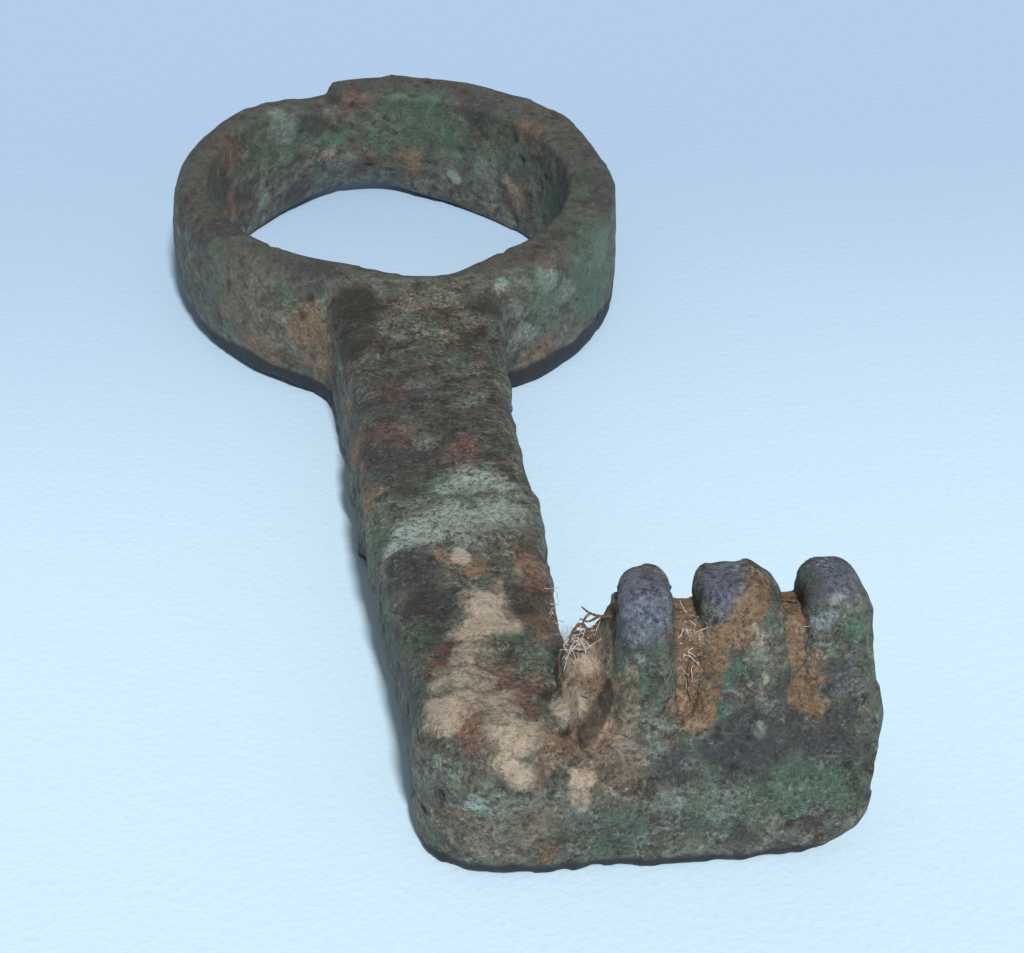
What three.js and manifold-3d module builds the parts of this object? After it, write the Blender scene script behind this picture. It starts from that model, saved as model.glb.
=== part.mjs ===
// A small cast bronze key of the ancient slide-lock kind: a finger-ring bow, a thick waisted shank and, at the
// foot of the shank, an arm to one side that carries a comb of three teeth. Dried earth and a few rootlets are
// still caught round the teeth. The bronze is one casting, divided here into the forms that its wax model was
// put together from, which meet on flat faces.
// Millimetres. The key lies flat: +Y runs along the shank to the bow, +X along the arm, +Z up the teeth.
import * as THREE from 'three';
import { mergeVertices } from 'three/addons/utils/BufferGeometryUtils.js';
import Module from 'manifold-3d';

const wasm = await Module();
wasm.setup();

// Bow: a ring of rounded band section, lying flat, with a worn stretch in its far rim (angles from +X, degrees)
const bowOuterDiameter = 22;
const bowBandThickness = 2.7;
const bowBandHeight = 6.5;
const bowSquareness = 2.6;
const wornRimDepth = 0.6;
const wornRimStart = 104;
const wornRimEnd = 138;
const wornRimStep = 2;
const wornRimRunOut = 26;

// Shank: a rounded bar with a waist below the bow, a swelling further down and a slight sway about its axis
const shankReach = 40.5;
const shankThickness = 5.8;
const neckWidth = 9;
const neckLength = 3.2;
const shankWidthAtBow = 7.4;
const waistWidth = 6.9;
const waistFromBow = 18.5;
const waistOffset = -0.05;
const swellingWidth = 7.2;
const swellingFromBow = 25;
const swellingOffset = -0.1;
const shankWidthAtFoot = 6.3;
const footOffset = 0.3;
const shankEdgeRadius = 1.1;

// Foot: the elbow at the end of the shank and the arm that leaves it
const armDepth = 4.8;
const armHeight = 3.8;
const armEdgeRadius = 0.8;
const armTipRadius = 3.4;
const elbowCornerRadius = 2.9;
const elbowLengthBehindArm = 0.6;
const elbowLapUnderTooth = 1;

// Comb: a low plate on the arm, and the teeth that rise from it, counted from the shank
const combPlateHeight = 2.1;
const combSetback = 0.7;
const combDepthAtRoot = 4;
const combDepthAtTip = 2.4;
const combLeanBack = 0.3;
const toothHeight = 5.2;
const toothRootWidths = [2.9, 3.8, 2.9];
const toothTipWidths = [1.8, 2.6, 2.3];
const toothRootGap = 0.35;
const toothTipPitch = 3.2;
const toothTipRadius = 0.95;
const toothTipSquareness = 0.8;
const toothEdgeRadius = 0.6;
const firstToothClearOfShank = 0.1;
const firstToothLean = 0.3;

// Earth and rootlets
const earthClearance = 0.08;
const earthEdgeRadius = 0.3;
const earthPlugHeight = 3.6;
const earthPlugDepthAtRoot = 2.8;
const earthPlugDepthAtTop = 1.5;
const earthPatchThickness = 0.4;
const earthPatchLength = 7.5;
const earthPatchWidth = 3.2;
const earthPatchFromFront = 1.8;
const earthBankHeight = 2.6;
const earthBankWidth = 1.1;
const earthBankWidthAtTop = 0.4;
const earthBankLength = 3.4;
const earthBankLengthAtTop = 1.9;
const frontPatchHeight = 2.2;
const frontPatchWidth = 1.2;
const rootletDiameter = 0.16;
const rootletClearance = 0.12;

// How finely the round forms are cut
const bandSteps = 72;
const bandSectionPoints = 18;
const cornerSteps = 4;
const shankSteps = 20;
const neckSteps = 6;
const domeSteps = 4;
const domeTopFlat = 0.6;
const thinnestFlat = 0.02;
const lensPoints = 28;
const rootletSides = 6;
const rootletStepsPerSpan = 6;

// Sizes that follow from the ones above
const bowRadius = bowOuterDiameter / 2;
const bandRadius = bowRadius - bowBandThickness / 2;
const bowSeatY = -Math.sqrt(bowRadius ** 2 - (neckWidth / 2) ** 2);
const neckEndY = bowSeatY - neckLength;
const footFrontY = -shankReach;
const armRearY = footFrontY + armDepth;
const elbowRearY = armRearY + elbowLengthBehindArm;
const elbowLeftX = footOffset - shankWidthAtFoot / 2;
const elbowRightX = footOffset + shankWidthAtFoot / 2;
const elbowSeamX = elbowRightX - elbowLapUnderTooth;
const combTop = armHeight + combPlateHeight;
const bankSeatZ = Math.max(combTop, shankThickness);
const combY = footFrontY + combSetback + combDepthAtRoot / 2;
const toothCount = toothRootWidths.length;
const gapCount = toothCount - 1;

// Where each tooth starts along the arm, and where the last one, and so the arm, ends
const toothStarts = toothRootWidths.map(
  (_, i) =>
    elbowRightX +
    firstToothClearOfShank +
    toothRootWidths.slice(0, i).reduce((sum, width) => sum + width + toothRootGap, 0),
);
const armEndX = toothStarts[gapCount] + toothRootWidths[gapCount];

const bronze = new THREE.MeshStandardMaterial({ color: 0x4b4a3e, roughness: 0.72, metalness: 0.35 });
const darkBronze = new THREE.MeshStandardMaterial({ color: 0x3b3840, roughness: 0.68, metalness: 0.35 });
const earth = new THREE.MeshStandardMaterial({ color: 0x8a6b4a, roughness: 0.95, metalness: 0 });
const paleEarth = new THREE.MeshStandardMaterial({ color: 0xa38d78, roughness: 0.95, metalness: 0 });
const rootlet = new THREE.MeshStandardMaterial({ color: 0x4a2f28, roughness: 0.9, metalness: 0 });

const smoothstep = (x) => x * x * (3 - 2 * x);
const mix = (a, b, t) => a + (b - a) * t;
const degrees = THREE.MathUtils.degToRad;
const clamp = THREE.MathUtils.clamp;

// A closed surface through rings of points, all with the same number. The ends are capped, or joined in a loop.
function loft(rings, looped = false) {
  const around = rings[0].length;
  const points = rings.flat();
  const faces = [];
  const spans = looped ? rings.length : rings.length - 1;
  for (let i = 0; i < spans; i++) {
    const next = ((i + 1) % rings.length) * around;
    for (let j = 0; j < around; j++) {
      const k = (j + 1) % around;
      const [a, b, c, d] = [i * around + j, i * around + k, next + k, next + j];
      faces.push(a, b, c, a, c, d);
    }
  }
  if (!looped) {
    capEnd(points, faces, rings[0], 0, true);
    capEnd(points, faces, rings[spans], spans * around, false);
  }
  return outward(new THREE.BufferGeometry().setFromPoints(points).setIndex(faces));
}

// Closes one end of a loft with a fan round its middle.
function capEnd(points, faces, ring, first, turned) {
  const middle = ring.reduce((sum, point) => sum.add(point), new THREE.Vector3()).divideScalar(ring.length);
  const hub = points.push(middle) - 1;
  for (let j = 0; j < ring.length; j++) {
    const [a, b] = [first + j, first + ((j + 1) % ring.length)];
    faces.push(hub, turned ? b : a, turned ? a : b);
  }
}

// Turns the faces of a closed geometry round if they point inwards.
function outward(geometry) {
  const at = geometry.attributes.position;
  const index = geometry.index.array;
  const [a, b, c] = [new THREE.Vector3(), new THREE.Vector3(), new THREE.Vector3()];
  let sixVolumes = 0;
  for (let i = 0; i < index.length; i += 3) {
    [a, b, c].forEach((corner, k) => corner.fromBufferAttribute(at, index[i + k]));
    sixVolumes += a.dot(b.cross(c));
  }
  if (sixVolumes < 0) {
    for (let i = 0; i < index.length; i += 3) [index[i], index[i + 1]] = [index[i + 1], index[i]];
  }
  return geometry;
}

// A geometry as a solid that can be joined and cut.
function solid(geometry) {
  const bare = geometry.clone();
  bare.deleteAttribute('normal');
  bare.deleteAttribute('uv');
  const merged = mergeVertices(bare, 1e-4);
  return new wasm.Manifold(
    new wasm.Mesh({
      numProp: 3,
      vertProperties: merged.attributes.position.array,
      triVerts: new Uint32Array(merged.index.array),
    }),
  );
}

// A solid back as a geometry.
function geometryOf(made) {
  const mesh = made.getMesh();
  const geometry = new THREE.BufferGeometry();
  geometry.setAttribute('position', new THREE.BufferAttribute(new Float32Array(mesh.vertProperties), 3));
  return geometry.setIndex(new THREE.BufferAttribute(new Uint32Array(mesh.triVerts), 1));
}

// A box solid between two corners. An open side runs well past the key.
const far = 4 * (shankReach + bowOuterDiameter);
function block({ x = [-far, far], y = [-far, far], z = [-far, far] }) {
  const geometry = new THREE.BoxGeometry(x[1] - x[0], y[1] - y[0], z[1] - z[0]);
  return solid(geometry.translate((x[0] + x[1]) / 2, (y[0] + y[1]) / 2, (z[0] + z[1]) / 2));
}

// The points of a rounded rectangle, anticlockwise, centred on (0, 0).
function roundedSection(width, height, radius) {
  const r = Math.min(radius, (width - thinnestFlat) / 2, (height - thinnestFlat) / 2);
  const [u, v] = [width / 2 - r, height / 2 - r];
  const corners = [
    [u, -v, -90],
    [u, v, 0],
    [-u, v, 90],
    [-u, -v, 180],
  ];
  return corners.flatMap(([cornerU, cornerV, start]) =>
    Array.from({ length: cornerSteps + 1 }, (_, k) => {
      const angle = degrees(start + (90 * k) / cornerSteps);
      return [cornerU + r * Math.cos(angle), cornerV + r * Math.sin(angle)];
    }),
  );
}

// A tapering block that stands upright. At each height, place(z) gives its middle, width, depth and edge radius.
function standing(heights, place) {
  const rings = heights.map((z) => {
    const { x, y, width, depth, edge } = place(z);
    return roundedSection(width, depth, edge).map(([u, v]) => new THREE.Vector3(x + u, y + v, z));
  });
  return solid(loft(rings));
}

// How far the worn stretch of the bow's rim has sunk, at an angle round the bow.
function rimWear(angle) {
  const fall = smoothstep(clamp((angle - wornRimStart) / wornRimStep, 0, 1));
  const recovery = smoothstep(clamp((wornRimEnd - angle) / wornRimRunOut, 0, 1));
  return wornRimDepth * fall * recovery;
}

// The bow's band: a rounded section carried round the circle, cut flat where the neck meets it.
function bowRing() {
  const flatten = Math.cos(Math.PI / bandSectionPoints);
  const sections = Array.from({ length: bandSteps }, (_, i) => {
    const turn = (360 * i) / bandSteps;
    const height = bowBandHeight - rimWear(turn);
    return Array.from({ length: bandSectionPoints }, (_, k) => {
      const angle = (2 * Math.PI * (k + 0.5)) / bandSectionPoints;
      const [c, s] = [Math.cos(angle), Math.sin(angle)];
      const reach = (Math.abs(c) ** bowSquareness + Math.abs(s) ** bowSquareness) ** (-1 / bowSquareness);
      const radius = bandRadius + (bowBandThickness / 2) * reach * c;
      const lift = clamp((reach * s) / flatten, -1, 1);
      const z = (height * (1 + lift)) / 2;
      return new THREE.Vector3(radius * Math.cos(degrees(turn)), radius * Math.sin(degrees(turn)), z);
    });
  });
  return solid(loft(sections, true)).subtract(block({ y: [-far, bowSeatY] }));
}

// The places along the bar where its middle and width are given
const barStations = [
  { y: neckEndY, x: 0, width: shankWidthAtBow },
  { y: -waistFromBow, x: waistOffset, width: waistWidth },
  { y: -swellingFromBow, x: swellingOffset, width: swellingWidth },
  { y: elbowRearY, x: footOffset, width: shankWidthAtFoot },
];

// Middle, width and height of the bar at a place along it, from the bow's seat to the foot.
function barAt(y) {
  if (y > neckEndY) {
    const flare = (y - neckEndY) / neckLength;
    const width = mix(shankWidthAtBow, neckWidth, flare ** 2);
    return { x: 0, width, height: mix(shankThickness, bowBandHeight, smoothstep(flare)) };
  }
  const next = Math.max(1, barStations.findIndex((station) => station.y <= y));
  const [from, to] = [barStations[next - 1], barStations[next]];
  const along = smoothstep(clamp((from.y - y) / (from.y - to.y), 0, 1));
  return { x: mix(from.x, to.x, along), width: mix(from.width, to.width, along), height: shankThickness };
}

// A stretch of the bar between two places along it.
function bar(startY, endY, steps) {
  const rings = Array.from({ length: steps + 1 }, (_, i) => {
    const y = mix(startY, endY, i / steps);
    const { x, width, height } = barAt(y);
    const section = roundedSection(width, height, shankEdgeRadius);
    return section.map(([u, v]) => new THREE.Vector3(x + u, y, v + height / 2));
  });
  return solid(loft(rings));
}

// The whole foot as an L in plan, with every edge rounded, before it is divided into elbow and arm.
function foot() {
  const edge = armEdgeRadius;
  const [left, right] = [elbowLeftX + edge, elbowRightX - edge];
  const [front, rear, back] = [footFrontY + edge, armRearY - edge, elbowRearY + 2 * edge];
  const [tip, corner] = [armEndX - edge, elbowCornerRadius - edge];
  const plan = new THREE.Shape();
  plan.moveTo(right, back);
  plan.lineTo(left, back);
  plan.lineTo(left, front + corner);
  plan.absarc(left + corner, front + corner, corner, Math.PI, 1.5 * Math.PI, false);
  plan.lineTo(tip, front);
  plan.lineTo(tip, rear);
  plan.lineTo(right, rear);
  plan.closePath();
  const body = new THREE.ExtrudeGeometry(plan, {
    depth: shankThickness - 2 * edge,
    bevelThickness: edge,
    bevelSize: edge,
    bevelSegments: 3,
    curveSegments: 8,
  });
  return solid(body.translate(0, 0, edge));
}

// What is kept of the arm, seen from the front: its free end is rounded off underneath.
function armFrontProfile() {
  const r = armTipRadius;
  const outline = new THREE.Shape();
  outline.moveTo(elbowSeamX, 0);
  outline.lineTo(armEndX - r, 0);
  outline.absarc(armEndX - r, r, r, -Math.PI / 2, 0, false);
  outline.lineTo(armEndX, armHeight);
  outline.lineTo(elbowSeamX, armHeight);
  outline.closePath();
  const slab = new THREE.ExtrudeGeometry(outline, { depth: far, bevelEnabled: false, curveSegments: 8 });
  return solid(slab.rotateX(Math.PI / 2).translate(0, far / 2, 0));
}

// Middle and depth of the comb, front to back, at a height. It grows thinner towards the tips.
function combAt(z) {
  const rise = clamp((z - combTop) / toothHeight, 0, 1);
  return { rise, y: combY + combLeanBack * rise, depth: mix(combDepthAtRoot, combDepthAtTip, rise) };
}

// The low plate that joins the roots of the teeth. At the seam with the elbow it is cut square.
function combPlate() {
  const left = elbowSeamX - 2 * toothEdgeRadius;
  const plate = standing([armHeight, combTop], (z) => {
    const { y, depth } = combAt(z);
    return { x: (left + armEndX) / 2, y, width: armEndX - left, depth, edge: toothEdgeRadius };
  });
  return plate.subtract(block({ x: [-far, elbowSeamX] }));
}

// Middle and width of a tooth along the arm, at a height.
function toothAt(number, z) {
  const { rise } = combAt(z);
  const rootWidth = toothRootWidths[number];
  const root = toothStarts[number] + rootWidth / 2;
  const tip = toothStarts[0] + toothRootWidths[0] / 2 + firstToothLean + number * toothTipPitch;
  return { x: mix(root, tip, rise), width: mix(rootWidth, toothTipWidths[number], rise) };
}

// One tooth: tapered, and domed over at its tip.
function tooth(number) {
  const shoulder = combTop + toothHeight - toothTipRadius;
  const heights = [combTop, mix(combTop, shoulder, 0.5), shoulder];
  for (let k = 1; k <= domeSteps; k++) {
    heights.push(shoulder + toothTipRadius * Math.sin((Math.PI / 2) * (k / (domeSteps + domeTopFlat))));
  }
  return standing(heights, (z) => {
    const { x, width } = toothAt(number, z);
    const { y, depth } = combAt(z);
    const up = Math.max(0, z - shoulder);
    const drawnIn = toothTipRadius - Math.sqrt(toothTipRadius ** 2 - up ** 2);
    const topWidth = width - 2 * toothTipSquareness * drawnIn;
    return { x, y, width: topWidth, depth: depth - 2 * drawnIn, edge: toothEdgeRadius };
  });
}

// Earth packed in the narrow gap between a tooth and the next one.
function earthPlug(number) {
  const [low, high] = [combTop + earthClearance, combTop + earthPlugHeight];
  return standing([low, mix(low, high, 0.5), high], (z) => {
    const [near, next] = [toothAt(number, z), toothAt(number + 1, z)];
    const from = near.x + near.width / 2 + earthClearance;
    const to = next.x - next.width / 2 - earthClearance;
    const depth = mix(earthPlugDepthAtRoot, earthPlugDepthAtTop, (z - low) / (high - low));
    return { x: (from + to) / 2, y: combAt(z).y, width: to - from, depth, edge: earthEdgeRadius };
  });
}

// Earth banked against the first tooth, on the side of the shank, clear of the comb plate and the shank's top.
function earthBank() {
  const [low, high] = [bankSeatZ + earthClearance, bankSeatZ + earthBankHeight];
  return standing([low, mix(low, high, 0.5), high], (z) => {
    const up = (z - low) / (high - low);
    const { x, width } = toothAt(0, z);
    const reach = mix(earthBankWidth, earthBankWidthAtTop, up);
    const middle = x - width / 2 - earthClearance - reach / 2;
    const depth = mix(earthBankLength, earthBankLengthAtTop, up);
    return { x: middle, y: combAt(z).y, width: reach, depth, edge: earthEdgeRadius };
  });
}

// A thin lens of earth with a wandering edge, its flat side on z = 0.
function earthLens(length, width, thickness) {
  const rings = [
    [1, 0],
    [0.96, 0.45],
    [0.8, 0.85],
    [0.45, 1],
  ].map(([spread, lift]) =>
    Array.from({ length: lensPoints }, (_, k) => {
      const angle = (2 * Math.PI * k) / lensPoints;
      const wander = spread * (1 + 0.09 * Math.sin(3 * angle + 0.6) + 0.05 * Math.cos(5 * angle));
      const [u, v] = [Math.cos(angle) * wander, Math.sin(angle) * wander];
      return new THREE.Vector3((width / 2) * u, (length / 2) * v, thickness * lift);
    }),
  );
  return loft(rings);
}

// A hair-thin root along a smooth line through a few points.
function rootStrand(points) {
  const outline = new THREE.Shape();
  outline.absarc(0, 0, rootletDiameter / 2, 0, 2 * Math.PI, false);
  const line = new THREE.CatmullRomCurve3(points.map((point) => new THREE.Vector3(...point)));
  return new THREE.ExtrudeGeometry(outline, {
    steps: rootletStepsPerSpan * (points.length - 1),
    curveSegments: rootletSides / 2,
    extrudePath: line,
    bevelEnabled: false,
  });
}

const key = new THREE.Group();

function addNode(name, geometry, material) {
  const shown = geometry.index ? geometry.toNonIndexed() : geometry;
  shown.computeVertexNormals();
  const mesh = new THREE.Mesh(shown, material);
  mesh.name = name;
  key.add(mesh);
  return mesh;
}

// The casting, from the bow to the teeth
addNode('bow_ring', geometryOf(bowRing()), bronze);
addNode('bow_neck', geometryOf(bar(bowSeatY, neckEndY, neckSteps)), bronze);
addNode('shank', geometryOf(bar(neckEndY, elbowRearY, shankSteps)), bronze);

const wholeFoot = foot();
const elbow = wholeFoot
  .intersect(block({ x: [-far, elbowRightX], y: [-far, elbowRearY] }))
  .subtract(block({ x: [elbowSeamX, far], y: [-far, armRearY] }));
addNode('shank_elbow', geometryOf(elbow), bronze);

const arm = wholeFoot
  .intersect(block({ x: [elbowSeamX, far], y: [-far, armRearY], z: [-far, armHeight] }))
  .intersect(armFrontProfile());
addNode('bit_arm', geometryOf(arm), bronze);
addNode('comb_plate', geometryOf(combPlate()), bronze);
for (let number = 0; number < toothCount; number++) {
  addNode(`tooth_${number + 1}`, geometryOf(tooth(number)), darkBronze);
}

// Earth left on the key
const topPatch = addNode(
  'earth_on_elbow',
  earthLens(earthPatchLength, earthPatchWidth, earthPatchThickness),
  paleEarth,
);
topPatch.position.set(footOffset, footFrontY + earthPatchFromFront + earthPatchLength / 2, shankThickness);

const frontPatch = addNode(
  'earth_on_arm_front',
  earthLens(frontPatchHeight, frontPatchWidth, earthPatchThickness).rotateX(Math.PI / 2),
  paleEarth,
);
frontPatch.position.set(elbowSeamX + frontPatchWidth, footFrontY, armHeight / 2);

addNode('earth_bank_at_tooth_1', geometryOf(earthBank()), earth);
for (let number = 0; number < gapCount; number++) {
  addNode(`earth_plug_${number + 1}_${number + 2}`, geometryOf(earthPlug(number)), earth);
}

// Rootlets that stand out of the bank of earth, beside the first tooth
const bankX = toothStarts[0] - earthBankWidth;
const bankTopZ = bankSeatZ + earthBankHeight;
const strands = {
  rootlet_hooked: [
    [bankX + 0.95, combY + 0.2, bankTopZ + rootletClearance],
    [bankX + 0.5, combY + 0.5, bankTopZ + 0.4],
    [bankX + 0.1, combY + 0.9, bankTopZ + 0.5],
    [bankX - 0.4, combY + 1.1, bankTopZ + 0.9],
  ],
  rootlet_looped: [
    [bankX + 0.15, combY - 0.3, bankSeatZ + earthBankHeight * 0.6],
    [bankX - 0.3, combY - 0.1, bankSeatZ + earthBankHeight * 0.7],
    [bankX - 0.5, combY + 0.4, bankSeatZ + earthBankHeight * 0.4],
    [bankX - 0.35, combY + 0.7, bankSeatZ + rootletClearance],
  ],
};
for (const [name, points] of Object.entries(strands)) {
  addNode(name, rootStrand(points), rootlet);
}

// The origin is under the middle of the key's box, on the surface that it lies on.
key.updateMatrixWorld(true);
const bounds = new THREE.Box3().setFromObject(key);
const middle = bounds.getCenter(new THREE.Vector3());
key.position.set(-middle.x, -middle.y, -bounds.min.z);

export default key;
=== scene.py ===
"""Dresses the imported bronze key: one corroded casting, the earth and rootlets caught on it, and pale paper."""

import math
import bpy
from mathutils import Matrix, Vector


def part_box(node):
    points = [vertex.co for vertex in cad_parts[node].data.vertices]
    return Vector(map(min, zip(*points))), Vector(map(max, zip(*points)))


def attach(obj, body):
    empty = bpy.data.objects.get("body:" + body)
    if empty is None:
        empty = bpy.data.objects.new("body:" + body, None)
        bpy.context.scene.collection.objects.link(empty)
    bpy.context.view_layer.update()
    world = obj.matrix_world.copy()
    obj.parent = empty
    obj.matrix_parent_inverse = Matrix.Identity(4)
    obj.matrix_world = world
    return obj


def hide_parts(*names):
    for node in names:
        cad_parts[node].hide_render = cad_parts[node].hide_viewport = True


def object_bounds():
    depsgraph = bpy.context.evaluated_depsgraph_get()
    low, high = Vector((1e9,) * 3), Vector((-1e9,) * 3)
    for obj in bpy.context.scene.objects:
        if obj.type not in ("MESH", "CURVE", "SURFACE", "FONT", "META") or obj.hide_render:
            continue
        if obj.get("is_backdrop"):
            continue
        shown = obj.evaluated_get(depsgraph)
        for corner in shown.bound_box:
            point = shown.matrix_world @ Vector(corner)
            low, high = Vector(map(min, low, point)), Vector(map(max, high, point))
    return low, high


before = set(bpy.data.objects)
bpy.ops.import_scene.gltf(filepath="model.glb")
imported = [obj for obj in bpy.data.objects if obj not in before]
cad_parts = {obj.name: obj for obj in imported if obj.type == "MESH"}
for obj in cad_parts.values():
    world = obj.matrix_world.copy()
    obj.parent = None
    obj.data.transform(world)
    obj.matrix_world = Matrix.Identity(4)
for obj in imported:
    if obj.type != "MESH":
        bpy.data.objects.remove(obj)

from types import SimpleNamespace

import bpy
import numpy as np
import openvdb
from bpy.props import FloatProperty, FloatVectorProperty, PointerProperty
from mathutils import Matrix, Vector
from mathutils.kdtree import KDTree

bl_info = {
    "name": "Bronze slide key",
    "version": (1, 0, 0),
    "blender": (4, 5, 0),
    "location": "3D View > Sidebar > Key",
    "description": "Corroded casting, earth and rootlets of a small bronze key, and the paper that it lies on",
    "category": "Add Mesh",
}

MM = 0.001
ROOT = "root"

# Everything is worked out in millimetres from the middle of the bow, and goes into the row frame at the end.
RING_LOW, RING_HIGH = (np.array(corner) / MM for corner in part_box("bow_ring"))
BOW_RADIUS = (RING_HIGH[0] - RING_LOW[0]) / 2
BOW_MIDDLE = np.array([(RING_LOW[0] + RING_HIGH[0]) / 2, RING_HIGH[1] - BOW_RADIUS, 0.0])


def node_box(name):
    """Lowest and highest corner of a CAD node, in millimetres from the middle of the bow."""
    return [np.array(corner) / MM - BOW_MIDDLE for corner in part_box(name)]


# ---- sizes and colours ----


def length(label, description, value):
    """A size property. The value is in millimetres."""
    return FloatProperty(name=label, description=description, default=value * MM, subtype="DISTANCE", unit="LENGTH")


def colour(label, description, value):
    """A colour property from an sRGB hex value."""
    return FloatVectorProperty(name=label, description=description, default=linear(value), size=3, subtype="COLOR")


def linear(value):
    """The linear red, green and blue of an sRGB hex value."""
    parts = [((value >> shift) & 255) / 255 for shift in (16, 8, 0)]
    return tuple(p / 12.92 if p <= 0.04045 else ((p + 0.055) / 1.055) ** 2.4 for p in parts)


def in_mm(group):
    """The sizes of a group, in millimetres."""
    return SimpleNamespace(**{name: getattr(group, name) / MM for name in type(group).__annotations__})


class BowSizes(bpy.types.PropertyGroup):
    """The finger ring: flat inside, bellied outside"""

    thickness: length("Band thickness", "Across the band at its belly, from finger to outside", 2.65)
    skin: length("Skin", "How far the casting stays inside its solids, to leave room for crust", 0.07)
    inner_edge: length("Inner edge", "Edge radius of the rim round the finger hole", 0.35)
    outer_edge: length("Outer edge", "Edge radius of the rim on the outside", 0.8)
    belly: length("Belly", "How far the outside leans in from the belly to the rim", 0.3)
    undercut: length("Undercut", "How far the outside draws in, on the whole, from the belly to the underside", 0.5)
    thin_side: length("Worn side", "How much thinner the band is opposite the arm", 0.75)
    worn_depth: length("Worn depth", "How far the worn stretch of the far rim has sunk", 0.6)
    underside_rise: length("Worn underside", "How far the underside of the far band has worn away", 0.35)
    far_lean: length("Far wall", "How far the far wall of the finger hole leans out at the bottom", 1.0)
    near_dip: length("Dip at the neck", "How far the rim dips where the shank joins it", 0.85)
    fillet: length("Fillet at the neck", "Reach of the fillet between bow and shank", 1.0)


class BarSizes(bpy.types.PropertyGroup):
    """The shank and the nose at its foot"""

    edge: length("Edge rounding", "Edge radius along the top of the shank", 1.1)
    under_edge: length("Lower edge", "Edge radius along the underside", 0.5)
    tuck: length("Tucked side", "How far the side away from the arm draws in at the bottom", 0.65)
    nose_edge: length("Nose rounding", "Edge radius round the top of the nose", 1.9)
    nose_corner: length("Nose corner", "Corner radius of the nose in plan, away from the arm", 2.8)
    inner_corner: length("Inner corner", "Corner radius of the nose in plan, beside the arm", 1.3)


class BitSizes(bpy.types.PropertyGroup):
    """The arm and its comb of teeth"""

    arm_edge: length("Arm rounding", "Edge radius along the top of the arm", 0.8)
    arm_end: length("Arm end", "Radius under the free end of the arm", 2.7)
    fillet: length("Root fillet", "Reach of the fillets at the roots of the teeth", 0.8)
    tooth_edge: length("Tooth edges", "Radius of the upright edges of a tooth", 0.75)
    dome: length("Tooth tips", "Radius of the domed tips", 0.7)


class Finish(bpy.types.PropertyGroup):
    """Colours of the patina, the earth and the rootlets"""

    olive: colour("Olive", "Main patina", 0x63645A)
    grey_green: colour("Grey green", "Worn patina on proud places", 0x7E877B)
    umber: colour("Umber", "Brown patina", 0x574A40)
    soot: colour("Soot", "Deepest brown, in pits and lines", 0x28241F)
    chalk: colour("Chalk", "Palest grains", 0xB9BDB2)
    dark: colour("Dark", "Purple-brown oxide", 0x3B3C41)
    slate: colour("Slate", "Blue-grey bloom on the tips of the teeth", 0x737A94)
    # Damp: dark patches here and there, and painted shade along the lower edges where the key meets the paper
    damp_and_painted_shade: colour("Damp", "Blackened lower edges", 0x1E2229)
    verdigris: colour("Verdigris", "Green crust", 0x487058)
    mint: colour("Mint", "Pale powdery crust", 0xB4C6BE)
    soil: colour("Soil", "Orange-brown earth", 0x9B7450)
    pale_soil: colour("Pale soil", "Pink-tan earth", 0xD3BDA6)
    cuprite: colour("Cuprite", "Red oxide", 0x7E5345)
    root: colour("Root", "Dead rootlets", 0x5F4238)
    fibre: colour("Fibre", "Bleached root hairs", 0xD2CCC4)


class PaperAndLight(bpy.types.PropertyGroup):
    """The paper, the lights and the camera"""

    paper_near: colour("Near paper", "Paper on the camera's side", 0xD2EDFD)
    # Far paper: darker than the near paper, as painted shade for light that falls off away from the camera
    paper_far_shaded: colour("Far paper", "Paper beyond the key", 0xB0CAE6)
    sky: FloatProperty(name="Sky", description="Even light from all round", default=0.3)
    flash: FloatProperty(name="Flash", description="Strength of the light beside the camera", default=3.05)


# ---- noise and soft steps ----

# Odd factors for the three numbers of a cell, then shifts and factors that mix their sum
CELL_FACTORS = (374761393, 668265263, 2246822519)
MIXING = ((13, 1274126177), (16, 2654435761))
LAST_SHIFT = 15
LARGEST = 0xFFFFFF
# Further off than anything that is looked for, in cells or in millimetres
FAR_OFF = 9.0


def soft(value, low, high):
    """A smooth step from 0 at low to 1 at high."""
    t = np.clip((value - low) / (high - low), 0, 1)
    return t * t * (3 - 2 * t)


def around(value, middle, far, close):
    """1 where a value is no more than close from the middle, and smoothly down to 0 at far."""
    return soft(np.abs(value - middle), far, close)


def scatter(cell, seed):
    """A repeatable number from 0 to 1 for each whole-number cell."""
    mixed = np.uint32(seed * 977 + 13)
    for axis, factor in enumerate(CELL_FACTORS):
        mixed = mixed + cell[..., axis].astype(np.uint32) * np.uint32(factor)
    for shift, factor in MIXING:
        mixed = (mixed ^ (mixed >> np.uint32(shift))) * np.uint32(factor)
    return ((mixed ^ (mixed >> np.uint32(LAST_SHIFT))) & np.uint32(LARGEST)).astype(np.float32) / LARGEST


def drift(points, wavelength, seed):
    """Smooth noise from -1 to 1 with that wavelength."""
    spot = points / wavelength
    cell = np.floor(spot).astype(np.int64)
    f = spot - cell
    f = f * f * f * (f * (f * 6 - 15) + 10)
    total = 0
    for corner in np.ndindex(2, 2, 2):
        share = np.prod([f[:, axis] if on else 1 - f[:, axis] for axis, on in enumerate(corner)], axis=0)
        total = total + share * scatter(cell + np.array(corner), seed)
    return total * 2 - 1


def rough(points, wavelength, seed, layers=4):
    """Noise in layers, each half as wide and half as strong as the one before."""
    return sum(drift(points, wavelength / 2**k, seed + 31 * k) / 2**k for k in range(layers))


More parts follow.
